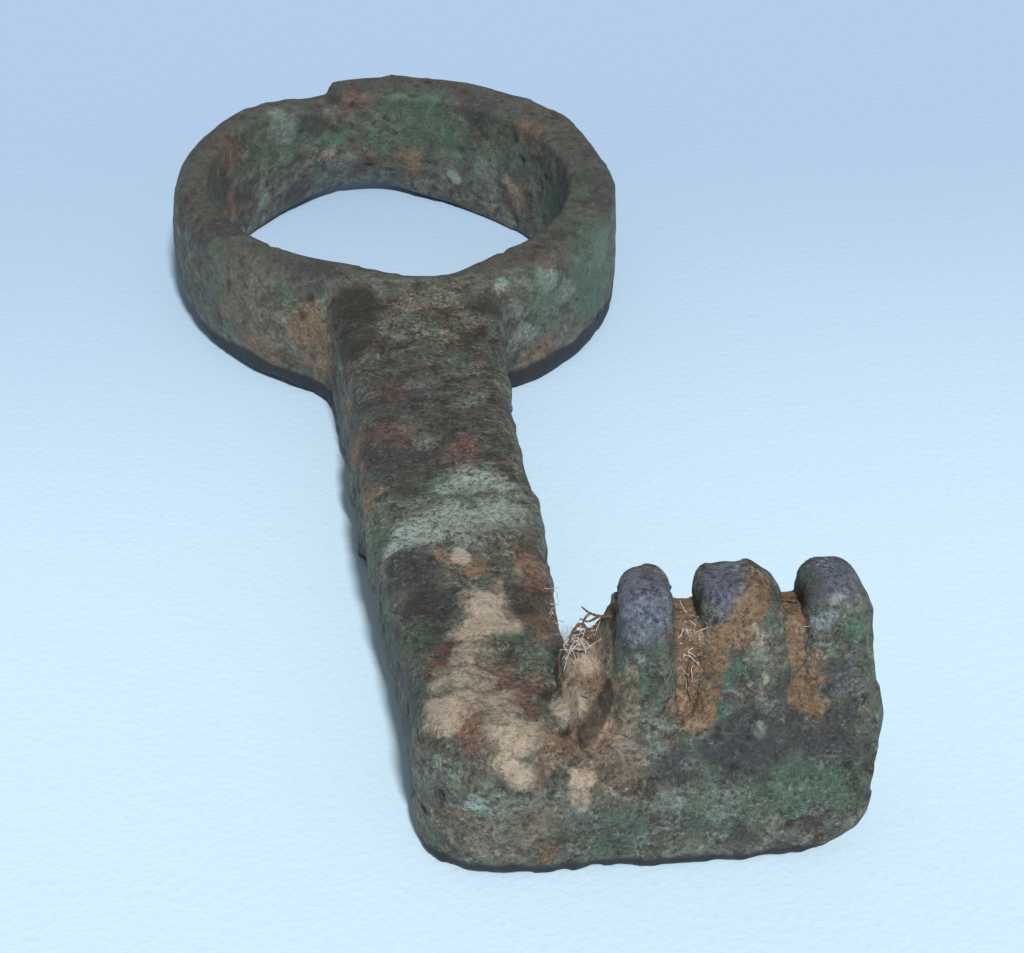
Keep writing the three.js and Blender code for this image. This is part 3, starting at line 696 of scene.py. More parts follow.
# Spots in millimetres from the middle of the bow: x, y, z, radius and strength
SPOTS = {
    "verdigris": (
        (9.0, -6.2, 4.4, 2.8, 0.9), (6.4, -8.8, 4.4, 2.2, 0.7), (-5.2, 6.8, 4.8, 2.2, 0.6), (1.0, 8.4, 4.6, 2.6, 0.6),
        (8.6, -0.5, 5.0, 1.4, 0.4), (7.9, 1.5, 3.5, 1.8, 0.7), (6.6, 5.2, 4.2, 1.6, 0.5), (3.6, 7.4, 4.4, 1.6, 0.6),
        (-2.4, 8.1, 4.2, 0.9, 0.9), (2.3, 8.1, 6.0, 1.2, 0.9), (8.3, -2.8, 6.4, 1.0, 0.6), (-6.3, 6.2, 1.4, 0.9, 0.6),
        (-7.2, 5.2, 6.0, 0.8, 0.6), (0.5, -25.2, 5.8, 2.4, 0.45), (-0.9, -24.3, 5.8, 0.8, 0.9),
        (-3.2, -27.3, 5.2, 1.1, 0.8), (1.4, -15.1, 5.8, 1.0, 0.6), (-2.3, -15.6, 5.8, 1.2, 0.4),
        (-3.4, -30.5, 3.2, 2.2, 0.5), (-2.2, -33.2, 5.6, 1.2, 0.7), (1.3, -33.7, 5.8, 0.6, 0.8),
        (-1.1, -40.2, 4.2, 1.0, 0.6), (2.0, -35.5, 5.8, 0.8, 0.5), (10.7, -40.4, 3.6, 1.5, 1.0),
        (12.3, -40.4, 3.4, 1.3, 0.9), (7.9, -40.4, 3.0, 2.0, 0.6), (4.2, -40.5, 2.0, 1.4, 0.6),
        (13.6, -38.0, 4.5, 2.4, 0.6), (12.5, -38.8, 9.4, 0.6, 1.1), (4.6, -39.1, 8.0, 0.8, 0.9),
        (8.3, -39.2, 8.2, 0.6, 0.9), (7.7, -39.5, 6.8, 0.6, 0.7), (11.0, -37.3, 10.9, 0.35, 0.9),
        (5.5, -37.4, 11.0, 0.4, 0.5),
    ),
    "mint": (
        (3.8, 7.5, 2.1, 0.5, 0.8), (5.3, 6.5, 2.9, 1.0, 0.4), (-1.9, 8.2, 2.6, 0.9, 0.4), (-5.3, 6.9, 5.6, 1.2, 0.45),
        (9.2, -5.6, 5.2, 1.2, 0.32), (6.3, -8.7, 5.5, 0.8, 0.5), (7.5, -7.9, 4.3, 0.7, 0.4),
        (4.0, -9.9, 6.0, 0.5, 0.7), (5.1, -9.7, 3.2, 1.0, 0.4), (8.2, -1.5, 5.2, 1.0, 0.35),
        (-6.3, 6.2, 1.6, 0.7, 0.5), (1.3, -24.3, 5.8, 0.75, 1.1), (0.6, -24.2, 5.8, 1.2, 0.6),
        (0.3, -28.6, 5.8, 1.1, 0.35), (0.6, -32.0, 5.8, 0.8, 0.35), (6.9, 4.8, 4.6, 1.2, 0.25),
        (0.0, -24.7, 5.8, 0.7, 0.9), (1.9, -24.6, 5.8, 0.7, 1.0), (-0.5, -16.8, 5.8, 0.9, 0.4),
        (1.5, -18.4, 5.8, 0.8, 0.4), (-0.7, -21.1, 5.8, 0.7, 0.4), (-1.6, -27.4, 5.8, 1.0, 1.1),
        (-2.4, -28.1, 5.8, 0.5, 1.0), (-0.2, -26.8, 5.8, 1.4, 0.75), (1.6, -26.4, 5.8, 1.3, 0.7),
        (-0.9, -40.2, 3.8, 0.5, 0.8), (-2.1, -39.0, 4.7, 0.4, 0.5), (6.2, -40.4, 3.4, 0.9, 0.3),
        (7.9, -40.4, 3.3, 1.2, 0.35), (5.6, -39.0, 8.7, 0.3, 1.2), (5.6, -39.1, 8.2, 0.25, 0.9),
        (4.8, -38.9, 8.8, 0.25, 0.7), (5.3, -38.5, 10.2, 0.6, 0.25), (5.1, -38.7, 9.6, 0.4, 0.4),
        (9.0, -38.9, 8.9, 0.7, 0.2), (11.8, -38.3, 10.8, 0.4, 0.6), (11.5, -38.6, 10.1, 0.5, 0.5),
        (5.4, -39.9, 5.7, 0.4, 0.5), (9.2, -39.8, 6.0, 0.4, 0.5), (6.7, -39.8, 4.6, 0.4, 0.4),
    ),
    "soil": (
        (-4.6, -9.9, 4.0, 1.7, 0.72), (-4.2, -10.6, 2.6, 1.4, 0.65), (-7.2, -8.1, 2.0, 1.4, 0.6),
        (-6.0, -9.1, 3.0, 1.4, 0.35), (-7.6, -7.2, 4.2, 2.4, 0.35), (-8.0, 4.0, 2.4, 1.3, 0.65),
        (-7.9, 4.2, 5.4, 1.3, 0.6), (-8.4, 2.9, 6.0, 1.1, 0.4), (-0.4, 8.5, 2.6, 1.0, 0.5),
        (1.4, 8.3, 2.5, 1.1, 0.65), (7.2, 4.4, 6.0, 1.2, 0.5), (7.0, 4.6, 2.3, 1.0, 0.65), (6.1, -9.0, 1.5, 1.4, 0.5),
        (0.1, -11.1, 6.0, 1.6, 0.3), (-3.4, -15.5, 3.2, 1.6, 0.5), (-3.5, -20.0, 4.6, 1.0, 1.0),
        (-3.5, -22.1, 4.7, 0.8, 1.0), (-3.5, -24.4, 5.0, 0.9, 1.0), (-0.9, -29.0, 5.8, 0.4, 1.1),
        (0.2, -29.6, 5.8, 0.6, 1.0), (2.5, -29.4, 5.6, 1.0, 0.7), (2.9, -33.0, 5.2, 1.5, 0.6),
        (1.7, -36.7, 5.8, 0.8, 0.5), (-3.6, -18.5, 3.6, 1.2, 0.55), (1.4, -40.4, 2.6, 1.6, 0.5),
        (-1.6, -40.3, 2.6, 1.6, 0.42), (0.6, -35.3, 5.8, 0.6, 0.9), (-0.1, -36.6, 5.8, 0.5, 0.8),
        (-0.95, -38.3, 5.8, 0.7, 0.7), (-1.7, -35.1, 5.8, 0.5, 0.6), (2.1, -39.4, 5.5, 1.0, 0.6),
        (2.0, -40.4, 1.3, 0.4, 0.8), (0.0, -40.5, 1.6, 1.8, 0.35), (2.0, -40.5, 2.6, 1.3, 0.3),
        (3.9, -39.8, 4.8, 1.5, 0.6), (3.2, -39.6, 6.2, 1.4, 0.7), (3.6, -37.5, 7.0, 1.2, 0.9),
        (9.3, -37.9, 11.0, 0.9, 1.0), (8.5, -38.4, 10.5, 0.75, 1.2), (7.9, -38.7, 9.5, 0.75, 1.2),
        (7.4, -39.0, 8.5, 0.75, 1.2), (7.1, -39.2, 7.6, 0.75, 1.2), (6.8, -39.4, 6.7, 0.8, 1.1),
        (10.7, -37.3, 9.4, 0.6, 0.9), (11.0, -38.9, 8.5, 0.45, 0.9), (10.9, -39.1, 7.6, 0.6, 1.0),
        (11.0, -39.3, 6.9, 0.7, 1.2),
    ),
    "cuprite": (
        (-1.3, 8.4, 6.2, 1.0, 0.6), (-7.7, -6.6, 6.4, 0.3, 0.8), (6.2, -8.3, 6.2, 0.8, 0.5),
        (0.7, -21.7, 5.8, 0.8, 0.9), (0.8, -23.1, 5.8, 0.8, 0.6), (-1.7, -17.6, 5.8, 1.2, 0.55),
        (-2.0, -20.8, 5.8, 1.3, 0.6), (2.3, -28.8, 5.7, 0.8, 0.9), (2.5, -30.6, 5.7, 0.9, 0.85),
        (1.7, -31.0, 5.8, 0.8, 0.5), (-1.3, -34.1, 5.8, 0.5, 1.1), (-1.4, -35.0, 5.8, 0.45, 1.0),
        (0.7, -36.1, 5.8, 0.5, 1.0), (1.0, -36.9, 5.8, 0.6, 1.1), (1.4, -38.0, 5.8, 0.45, 1.0),
        (1.4, -39.2, 5.8, 0.45, 1.0), (1.3, -40.2, 5.5, 0.45, 1.0), (1.1, -40.5, 4.7, 0.45, 0.8),
        (-0.85, -38.9, 5.7, 0.7, 0.6), (2.1, -39.4, 5.5, 0.9, 0.35), (5.9, -40.5, 1.9, 0.25, 1.4),
    ),
    "dark": (
        # The spots at (-2.8, -11.1), (3.2, -11.2) and (-3.4, -13.6) darken the creases beside the neck as painted
        # shade; the rest are purple-brown oxide
        (8.8, -39.9, 5.2, 1.8, 1.2), (11.6, -39.9, 5.0, 1.5, 1.0), (6.2, -39.9, 4.6, 1.2, 0.7),
        (10.6, -39.7, 5.9, 1.0, 0.9), (12.2, -39.6, 6.3, 0.9, 0.8), (-2.8, -11.1, 6.3, 1.2, 0.9),
        (3.2, -11.2, 6.0, 1.1, 0.8), (-8.7, -4.5, 6.4, 1.3, 0.9), (-4.3, -8.6, 6.4, 1.5, 0.9),
        (9.4, -2.9, 6.4, 1.2, 0.9), (9.9, -0.8, 6.2, 1.5, 0.75), (-7.9, 3.0, 4.0, 1.4, 0.4),
        (-8.4, 4.0, 4.8, 1.4, 0.4), (-7.8, -6.8, 4.2, 2.0, 0.4), (10.6, 2.5, 5.6, 1.6, 0.5),
        (10.1, 1.4, 6.2, 1.3, 0.8), (7.4, -6.1, 6.4, 1.1, 0.9), (5.0, 7.0, 6.3, 1.3, 0.8), (-3.7, 7.7, 5.4, 1.1, 0.9),
        (-4.6, 7.7, 1.2, 1.0, 0.8), (9.6, 2.0, 6.3, 1.1, 0.6), (-1.8, -22.2, 5.8, 2.2, 0.9),
        (-1.0, -18.0, 5.8, 3.2, 0.6), (1.0, -20.5, 5.8, 2.4, 0.6), (-1.9, -24.0, 5.8, 1.2, 0.8),
        (-2.8, -22.0, 5.6, 1.2, 0.9), (-1.6, -28.5, 5.8, 0.35, 0.9), (-2.2, -29.7, 5.8, 1.3, 0.9),
        (-3.4, -13.6, 5.4, 1.0, 0.8), (-1.6, -15.0, 5.8, 1.6, 0.5), (-1.6, -31.4, 5.8, 1.2, 0.9),
        (-2.1, -33.9, 5.7, 0.9, 0.8), (2.2, -32.6, 5.8, 1.1, 0.65), (1.6, -33.8, 5.8, 0.7, 0.6),
        (2.0, -37.2, 5.8, 0.6, 0.3), (4.4, -38.2, 9.9, 0.4, 0.9), (4.4, -38.6, 9.1, 0.35, 0.9),
        (5.0, -38.9, 9.2, 0.9, 0.5), (5.0, -37.2, 11.0, 0.9, 0.3), (7.5, -37.6, 11.0, 0.9, 0.8),
        (11.5, -37.4, 11.0, 1.2, 0.8), (5.2, -39.3, 7.5, 0.6, 0.7), (8.4, -39.1, 8.1, 0.6, 0.7),
        (7.7, -39.3, 7.4, 0.7, 0.9), (9.9, -39.2, 7.6, 0.6, 0.8), (11.6, -39.2, 7.8, 0.8, 0.8),
        (12.4, -39.0, 8.8, 0.8, 0.5), (13.4, -38.6, 5.5, 1.2, 0.6),
    ),
    "slate": (
        (5.0, -37.6, 11.0, 1.2, 1.3), (5.2, -38.6, 10.2, 1.0, 0.8), (4.7, -38.6, 9.8, 0.7, 0.7),
        (7.9, -37.6, 11.0, 1.1, 0.85), (11.9, -37.4, 11.0, 1.3, 0.65), (12.9, -37.6, 9.6, 1.0, 0.5),
        (11.5, -38.6, 10.1, 0.7, 0.5), (12.3, -39.0, 7.6, 0.8, 0.4), (3.0, -40.5, 3.2, 0.5, 0.5),
    ),
    "pale": (
        (6.5, 5.2, 2.7, 0.5, 0.6), (-2.8, 8.0, 3.5, 0.4, 0.45), (1.6, -26.6, 5.8, 0.9, 0.45),
        # The spot at (-3.5, -13.8, 4.2) lightens the left side of the shank beside the neck: painted light
        (-3.5, -13.8, 4.2, 1.1, 0.35), (-0.3, -29.0, 5.8, 0.4, 1.1), (1.9, -30.0, 5.8, 0.35, 0.5),
        (1.0, -30.8, 5.8, 0.5, 0.7), (0.4, -31.8, 5.8, 1.0, 1.0), (0.9, -32.8, 5.8, 0.9, 1.2),
        (-0.1, -33.3, 5.8, 1.0, 0.9), (-0.8, -33.4, 5.8, 0.6, 0.6), (-0.4, -34.6, 5.8, 1.0, 0.6),
        (-1.3, -36.0, 5.8, 0.9, 0.65), (-0.4, -36.0, 5.8, 0.9, 0.65), (-1.75, -37.5, 5.8, 1.0, 1.0),
        (-0.8, -37.3, 5.8, 0.9, 0.85), (0.2, -37.4, 5.8, 0.9, 0.85), (0.2, -38.8, 5.8, 1.0, 0.85),
        (0.75, -39.1, 5.8, 0.8, 0.95), (0.5, -40.1, 5.5, 0.9, 0.8), (0.7, -40.4, 5.1, 0.7, 0.7),
        (1.6, -38.6, 5.8, 0.7, 0.35), (2.8, -37.3, 6.1, 0.45, 1.0), (3.0, -38.2, 6.3, 0.9, 0.6),
        (2.5, -37.7, 5.8, 0.5, 1.0), (3.0, -37.2, 7.6, 1.1, 0.7), (4.5, -39.3, 7.4, 0.5, 0.4),
        (4.1, -39.7, 5.9, 0.9, 0.4), (3.0, -40.1, 4.4, 0.5, 1.0), (3.0, -40.4, 3.7, 0.45, 0.8),
        (9.2, -38.7, 9.6, 1.0, 0.3), (9.1, -39.2, 8.0, 0.25, 0.7),
    ),
}

# Painted shade in the creases on both sides of the neck
NECK_PAINTED_SHADE = ((-2.9, -11.5, 6.0, 1.8, 0.85), (-3.0, -13.4, 5.6, 1.3, 0.7), (3.1, -11.6, 6.0, 1.0, 0.6))


def spread(points, spots):
    """How strongly each point lies in a group of spots, with wandering edges."""
    shifted = points + 0.35 * np.stack([drift(points, 0.8, seed) for seed in (301, 302, 303)], axis=1)
    most = np.zeros(len(points))
    for *middle, radius, strength in spots:
        away = np.sqrt(((shifted - middle) ** 2).sum(1))
        most = np.maximum(most, strength * soft(away, radius * 1.35, radius * 0.45))
    return most


def scratched(points):
    """How strongly the cross scratches show: on top of the shank, between bow and collar."""
    x, y, z = points.T
    return soft(y, -25, -23.5) * soft(y, -10.5, -12.5) * around(x, 0, 4.2, 3.4) * soft(z, 3.0, 5.0)


def painted_lower_edge_shade(points):
    """How strongly the painted shade along the lower edge shows: higher up on the bow than elsewhere."""
    x, y, z = points.T
    edge = 0.95 + 0.75 * soft(y, -13, -9) + 0.25 * drift(points, 1.5, 401)
    outside = 1 - soft(y, -7, -4) * soft(np.hypot(x, y), 10.0, 9.4)
    return soft(z, edge, edge - 0.6) * outside


def painted_crease_shade(points):
    """How strongly the painted shade in the crease beside the first tooth and in the hollows beside the neck shows.
    """
    return np.maximum(soft(chain_distance(points, Casting.CREASE), 0.45, 0.1), spread(points, NECK_PAINTED_SHADE))


def grainy(points):
    """How strongly the fine grains show: less on the smoother bow."""
    return 1 - 0.6 * soft(points[:, 1], -13, -7)


def finishes(points):
    """How strongly each finish shows at each point."""
    shown = {name: spread(points, spots) for name, spots in SPOTS.items()}
    # Two of these are painted shade: one along the lower edges, and one in hollows and creases
    others = {"scratched": scratched, "low": painted_lower_edge_shade, "hollow": painted_crease_shade, "grainy": grainy}
    return shown | {name: strength(points) for name, strength in others.items()}


# ---- the pieces ----

# Spacing of the grids that the casting and the earth are worked out on, and the box of the casting's grid
CASTING_PITCH, EARTH_PITCH = 0.15, 0.11
CASTING_BOX = ((-11.6, -41.2, -0.6), (14.5, 11.6, 11.7))
# How far from the surface the shape is averaged, to tell its hollows
HOLLOW_REACH = 0.6
# How square a face stands to an axis, and how near to a seam, to be part of the cut
SQUARE, ON_SEAM = 0.9999, 1e-3


def casting_pieces(casting):
    """Where the casting is divided: node names and cutting prisms, as the solids are."""
    far = 60.0
    seam = casting.arm_low[0]
    arm_rear = casting.arm_high[1]
    plate_low, plate_high = casting.arm_high[2], casting.comb_high[2]
    before = casting.elbow_rear
    whole, bit = (-far, far), ((seam, far), (-far, arm_rear))
    corner = [(-far, -far), (seam, -far), (seam, arm_rear), (far, arm_rear), (far, before), (-far, before)]
    yield "bow_ring", rectangle(whole, (casting.seat, far)), -far, far
    yield "bow_neck", rectangle(whole, (casting.neck_end, casting.seat)), -far, far
    yield "shank", rectangle(whole, (before, casting.neck_end)), -far, far
    yield "shank_elbow", corner, -far, far
    yield "bit_arm", rectangle(*bit), -far, plate_low
    yield "comb_plate", rectangle(*bit), plate_low, plate_high
    gaps = [(a[0] + a[1] + b[0] - b[1]) / 2 for a, b in zip(casting.TEETH[:-1], casting.TEETH[1:])]
    edges = [seam, *gaps, far]
    for number in range(len(casting.TEETH)):
        yield f"tooth_{number + 1}", rectangle(edges[number : number + 2], bit[1]), plate_high, far


def cut_out(whole, name, outline, low, high, material):
    """The part of the whole casting inside one prism, as a closed mesh."""
    cutter = new_piece("cutter", *prism(outline, low, high), material, smooth=False)
    piece = bpy.data.objects.new(f"{name}_cast", whole.data.copy())
    bpy.context.scene.collection.objects.link(piece)
    cut = piece.modifiers.new("cut", "BOOLEAN")
    cut.operation, cut.solver, cut.object = "INTERSECT", "MANIFOLD", cutter
    graph = bpy.context.evaluated_depsgraph_get()
    mesh = bpy.data.meshes.new_from_object(piece.evaluated_get(graph))
    piece.modifiers.clear()
    piece.data = mesh
    mesh.name = piece.name
    bpy.data.objects.remove(cutter)
    mesh.materials.clear()
    mesh.materials.append(material)
    return piece


def share_surface(piece, tree, normals, values, planes):
    """Gives a cut piece the normals and kept values of the whole surface, so that no seam shows."""
    mesh = piece.data
    found = [tree.find_n(point, 3) for point in vertex_points(mesh)]
    index = np.array([[hit[1] for hit in hits] for hits in found])
    weight = 1 / (np.array([[hit[2] for hit in hits] for hits in found]) + 1e-5)
    weight /= weight.sum(1, keepdims=True)
    set_values(mesh, {name: (value[index] * weight).sum(1) for name, value in values.items()})
    shared = (normals[index] * weight[..., None]).sum(1)
    shared /= np.linalg.norm(shared, axis=1, keepdims=True)
    corners = np.zeros(len(mesh.loops), np.int32)
    mesh.loops.foreach_get("vertex_index", corners)
    loop_normals = shared[corners]
    for polygon in mesh.polygons:
        centre = np.array(polygon.center) / MM - BOW_MIDDLE
        axis = int(np.argmax(np.abs(polygon.normal)))
        off_seam = min(abs(centre[axis] - plane) for plane in planes[axis])
        if abs(polygon.normal[axis]) > SQUARE and off_seam < ON_SEAM:
            on_plane = slice(polygon.loop_start, polygon.loop_start + polygon.loop_total)
            loop_normals[on_plane] = polygon.normal
    mesh.shade_smooth()
    mesh.normals_split_custom_set(loop_normals.tolist())


class KEY_OT_casting(bpy.types.Operator):
    """Makes the corroded casting as one surface and divides it where the solids meet"""

    bl_idname = "key.casting"
    bl_label = "Bronze casting"

    def bronze_finishes(self, casting, points):
        """The finishes, with a dark rim on the bow, painted shade in the hollows of the shape and wear on what is
        proud.
        """
        shown = finishes(points)
        height = casting.base(*points.T)
        steps = np.vstack([np.eye(3), -np.eye(3)]) * HOLLOW_REACH
        wide = sum(casting.base(*(points + step).T) for step in steps) / len(steps)
        rim = soft(points[:, 2], 5.5, 6.1) * soft(points[:, 1], -10, -8.5)
        # Painted shade in pits below the shape and in places that lie lower than their surroundings
        hollow = np.clip(-height * 6, 0, 1) * 0.8 + soft(wide - height, 0.03, -0.2)
        shown["dark"] = np.maximum(shown["dark"], 0.55 * rim)
        shown["hollow"] = np.maximum(hollow, shown["hollow"])
        shown["proud"] = np.clip(height * 8, 0, 1)
        return shown

    def execute(self, context):
        casting = Casting(context.scene)
        grid = Grid(*CASTING_BOX, CASTING_PITCH)
        points, quads = grid.surface(casting.crusted(grid))
        points = within_solids(points)
        material = patina("bronze_patina", context.scene.key_finish, 0.66)
        whole = new_piece("whole_casting", points, quads, material)
        shown = self.bronze_finishes(casting, points)
        normals = np.zeros(len(whole.data.vertices) * 3, np.float32)
        whole.data.vertex_normals.foreach_get("vector", normals)
        normals = normals.reshape(-1, 3).astype(float)
        tree = KDTree(len(points))
        for number, point in enumerate(points):
            tree.insert(point, number)
        tree.balance()
        planes = (
            [edge for _, outline, _, _ in casting_pieces(casting) for edge, _ in outline],
            [casting.seat, casting.neck_end, casting.elbow_rear, casting.arm_high[1]],
            [casting.arm_high[2], casting.comb_high[2]],
        )
        for name, outline, low, high in casting_pieces(casting):
            piece = cut_out(whole, name, outline, low, high, material)
            share_surface(piece, tree, normals, shown, planes)
            dress(piece, "bronze_patina", name)
        bpy.data.objects.remove(whole)
        return {"FINISHED"}


# Crusts of earth on the bronze: name, thickness, a chain of x, y, z and radius, and any node that it replaces
CRUSTS = (
    (
        "earth_patch",
        0.2,
        (
            (0.4, -31.6, 5.8, 0.7), (0.4, -33.0, 5.8, 1.0), (-0.4, -34.6, 5.8, 0.9), (-0.9, -36.0, 5.8, 1.0),
            (-1.4, -37.5, 5.8, 1.0), (0.0, -37.6, 5.8, 1.1), (0.5, -39.2, 5.7, 1.0), (0.6, -40.3, 5.0, 0.85),
        ),
        "earth_on_elbow",
    ),
    (
        "earth_in_valley",
        0.2,
        (
            (3.1, -40.1, 4.7, 0.35), (2.9, -40.4, 3.9, 0.4), (2.85, -40.4, 3.2, 0.4), (2.85, -40.4, 2.6, 0.35),
        ),
        "earth_on_arm_front",
    ),
    (
        "earth_on_shoulder",
        0.16,
        (
            (2.7, -37.4, 5.9, 0.55), (2.2, -38.2, 5.8, 0.5),
        ),
    ),
)


def lay_earth(name, grid, field, material, least, *nodes):
    """One piece of earth from a field over a grid, with no less of some finishes than given."""
    points, quads = grid.surface(field)
    shown = finishes(points)
    for finish, strength in least.items():
        shown[finish] = np.maximum(shown[finish], strength)
    piece = new_piece(name, within_solids(points), quads, material)
    set_values(piece.data, shown)
    dress(piece, "dried_earth", *nodes)


class KEY_OT_crusts(bpy.types.Operator):
    """Lays thin crusts of pale earth on the foot and in the valley beside the arm"""

    bl_idname = "key.crusts"
    bl_label = "Earth crusts"

    def execute(self, context):
        casting = Casting(context.scene)
        material = patina("dried_earth", context.scene.key_finish, 0.85)
        for name, thickness, chain, *nodes in CRUSTS:
            beads = np.array(chain)
            margin = beads[:, 3:].max() + 0.8
            grid = Grid(beads[:, :3].min(0) - margin, beads[:, :3].max(0) + margin, EARTH_PITCH)
            bronze = casting.crusted(grid)
            where = np.nonzero(np.abs(bronze) < 0.7)
            points = grid.points(where)
            inside = -(chain_distance(points, chain) + 0.25 * rough(points, 0.9, 205, 3))
            lumps = 0.06 * rough(points, 0.5, 211, 2)
            thick = (thickness + lumps) * soft(inside, -0.1, 0.7) - 0.25 * soft(inside, 0.05, -0.3)
            shell = np.full(bronze.shape, 1.0)
            shell[where] = meet(bronze[where] - thick, -bronze[where] - 0.14)
            lay_earth(name, grid, shell, material, {}, *nodes)
        return {"FINISHED"}


class KEY_OT_fills(bpy.types.Operator):
    """Packs crumbly earth between the teeth and banks it against the first tooth"""

    bl_idname = "key.fills"
    bl_label = "Earth between the teeth"

    # The bank of earth: middle and half sizes in plan, its foot, and its height where it starts and how it rises
    # to the tooth and falls to the front
    BANK_MIDDLE, BANK_HALF, BANK_FOOT = (3.4, -38.0), (1.5, 1.85), 5.2
    BANK_HEIGHT, BANK_START, BANK_RISE, BANK_FALL = 7.7, (2.7, -36.5), 0.5, 0.68

    def bank(self, x, y, z):
        """A slope of earth from the first tooth down to the shank and the front."""
        start_x, start_y = self.BANK_START
        top = self.BANK_HEIGHT + self.BANK_RISE * (x - start_x) + 1.5 * soft(x, 3.6, 4.5)
        top = top - self.BANK_FALL * np.maximum(start_y - y, 0)
        top = top - 2.2 * soft(x, 3.0, 2.1)
        aside, ahead = (np.abs(v - m) - h for v, m, h in zip((x, y), self.BANK_MIDDLE, self.BANK_HALF))
        return rounded(rounded(aside, ahead, 0.5), meet((z - top) * 0.78, self.BANK_FOOT - z), 0.35)

    def plug(self, low, high, x, y, z):
        """Earth that fills a gap between two teeth, set back a little at its top."""
        middle, half = (low + high) / 2, (high - low) / 2
        back = 0.75 * np.clip((z - low[2]) / (high[2] - low[2]), 0, 1)
        across = np.abs(y - middle[1] - back / 2) - half[1] + back / 2
        plan = rounded(np.abs(x - middle[0]) - half[0] - 0.4, across, 0.4)
        return rounded(plan, meet(z - high[2] - 0.1, low[2] - 0.6 - z), 0.3)

    def execute(self, context):
        casting = Casting(context.scene)
        material = patina("packed_earth", context.scene.key_finish, 0.85)
        for node in ("earth_bank_at_tooth_1", "earth_plug_1_2", "earth_plug_2_3"):
            low, high = node_box(node)
            banked = "bank" in node
            grid = Grid(low - (0.9, 0.6, 1.0), high + (0.8, 0.6, 1.2), EARTH_PITCH)
            bronze = casting.crusted(grid)
            place = (grid.x, grid.y, grid.z)
            body = self.bank(*place) if banked else self.plug(low, high, *place)
            where = np.nonzero(np.abs(body) < 0.8)
            points = grid.points(where)
            body[where] -= 0.16 * rough(points, 0.8, 221, 3) + 0.1 * drift(points * (1, 1, 2), 0.35, 227)
            body = meet(body, -bronze - 0.16)
            least = {"soil": 0.45 if banked else 0.85, "pale": 0.25}
            lay_earth(f"packed_{node}", grid, body, material, least, node)
        return {"FINISHED"}


# ---- rootlets ----


def strand(points, thick, thin, sides=7, steps=10):
    """A tapering root along a smooth line through a few points, as points and faces."""
    line = np.array(points, float)
    padded = np.vstack([2 * line[0] - line[1], line, 2 * line[-1] - line[-2]])
    path = []
    for a, b, c, d in (padded[k : k + 4] for k in range(len(padded) - 3)):
        first, second, third = c - a, 2 * a - 5 * b + 4 * c - d, 3 * b - a - 3 * c + d
        path += [0.5 * (2 * b + first * t + second * t**2 + third * t**3) for t in np.arange(steps) / steps]
    path = np.array([*path, line[-1]])
    ahead = np.gradient(path, axis=0)
    ahead /= np.linalg.norm(ahead, axis=1, keepdims=True)
    angles = np.arange(sides)[:, None] * 2 * math.pi / sides
    rings, up = [], np.array([0.0, 0.0, 1.0])
    for number, (centre, direction) in enumerate(zip(path, ahead)):
        across = np.cross(direction, up)
        if np.linalg.norm(across) < 0.1:
            across = np.cross(direction, (1.0, 0.0, 0.0))
        across /= np.linalg.norm(across)
        up = np.cross(across, direction)
        radius = thick + (thin - thick) * number / (len(path) - 1)
        radius *= 1 + 0.2 * math.sin(number * 1.7)
        rings.append(centre + radius * (np.cos(angles) * across + np.sin(angles) * up))
    made = np.vstack([*rings, path[:1], path[-1:]])
    start, end = len(made) - 2, len(made) - 1
    last = (len(rings) - 1) * sides
    sides_round = [(k, (k + 1) % sides) for k in range(sides)]
    faces = [[r + k, r + n, r + sides + n, r + sides + k] for r in range(0, last, sides) for k, n in sides_round]
    for k, n in sides_round:
        faces += [[start, n, k], [end, last + k, last + n]]
    return made, faces


ROOTLETS = {
    "rootlet_hooked": (
        ((4.3, -37.0, 9.3), (3.8, -36.9, 9.2), (3.4, -36.8, 9.3), (3.1, -36.8, 9.6)),
        ((3.7, -36.9, 9.2), (3.35, -36.9, 9.0), (3.05, -36.9, 9.15)),
        ((3.4, -36.8, 9.3), (3.2, -36.9, 9.1), (3.15, -37.0, 8.8)),
    ),
    "rootlet_looped": (
        ((3.6, -37.0, 8.2), (3.1, -36.9, 8.9), (2.75, -36.9, 8.3), (2.9, -36.9, 7.8), (3.3, -37.0, 7.7)),
        ((3.0, -37.2, 7.6), (2.6, -36.9, 7.9), (2.4, -36.9, 7.3), (2.5, -37.1, 6.6)),
    ),
    "rootlet_in_gap": (
        ((6.5, -37.9, 9.2), (6.8, -38.4, 8.9), (6.6, -38.9, 8.1), (6.8, -39.2, 7.1)),
        ((6.9, -37.5, 9.4), (6.6, -37.9, 9.0), (6.9, -38.6, 8.6), (6.6, -39.0, 7.6)),
    ),
    "rootlet_at_tooth_3": (((10.4, -37.2, 9.4), (10.6, -37.4, 9.8), (10.3, -37.5, 10.0), (10.1, -37.5, 10.1)),),
}

# Radius of a root's stem, of its branches and of its tips
ROOT_THICK, ROOT_TIP = (0.075, 0.055, 0.055), 0.025
# Radius of a hair at both ends, its sides and its steps
HAIR = (0.016, 0.01, 5, 3)

# Tangles of root hairs: name, how many, middle of the tangle, half sizes, and length of a hair
TANGLES = (
    ("hairs_at_bank", 40, (3.05, -36.8, 8.1), (0.4, 0.25, 0.5), 0.4),
    ("hairs_on_shank", 14, (3.0, -32.6, 5.2), (0.3, 2.2, 0.4), 0.35),
    ("hairs_in_gap_1", 70, (6.65, -38.0, 8.9), (0.3, 0.9, 1.1), 0.35),
    ("hairs_in_gap_2", 20, (10.5, -38.0, 8.6), (0.25, 0.6, 0.9), 0.3),
)


def join_strands(strands):
    """Points and faces of several strands as one mesh."""
    points, faces, count = [], [], 0
    for made, made_faces in strands:
        faces += [[k + count for k in face] for face in made_faces]
        points.append(made)
        count += len(made)
    return np.vstack(points), faces


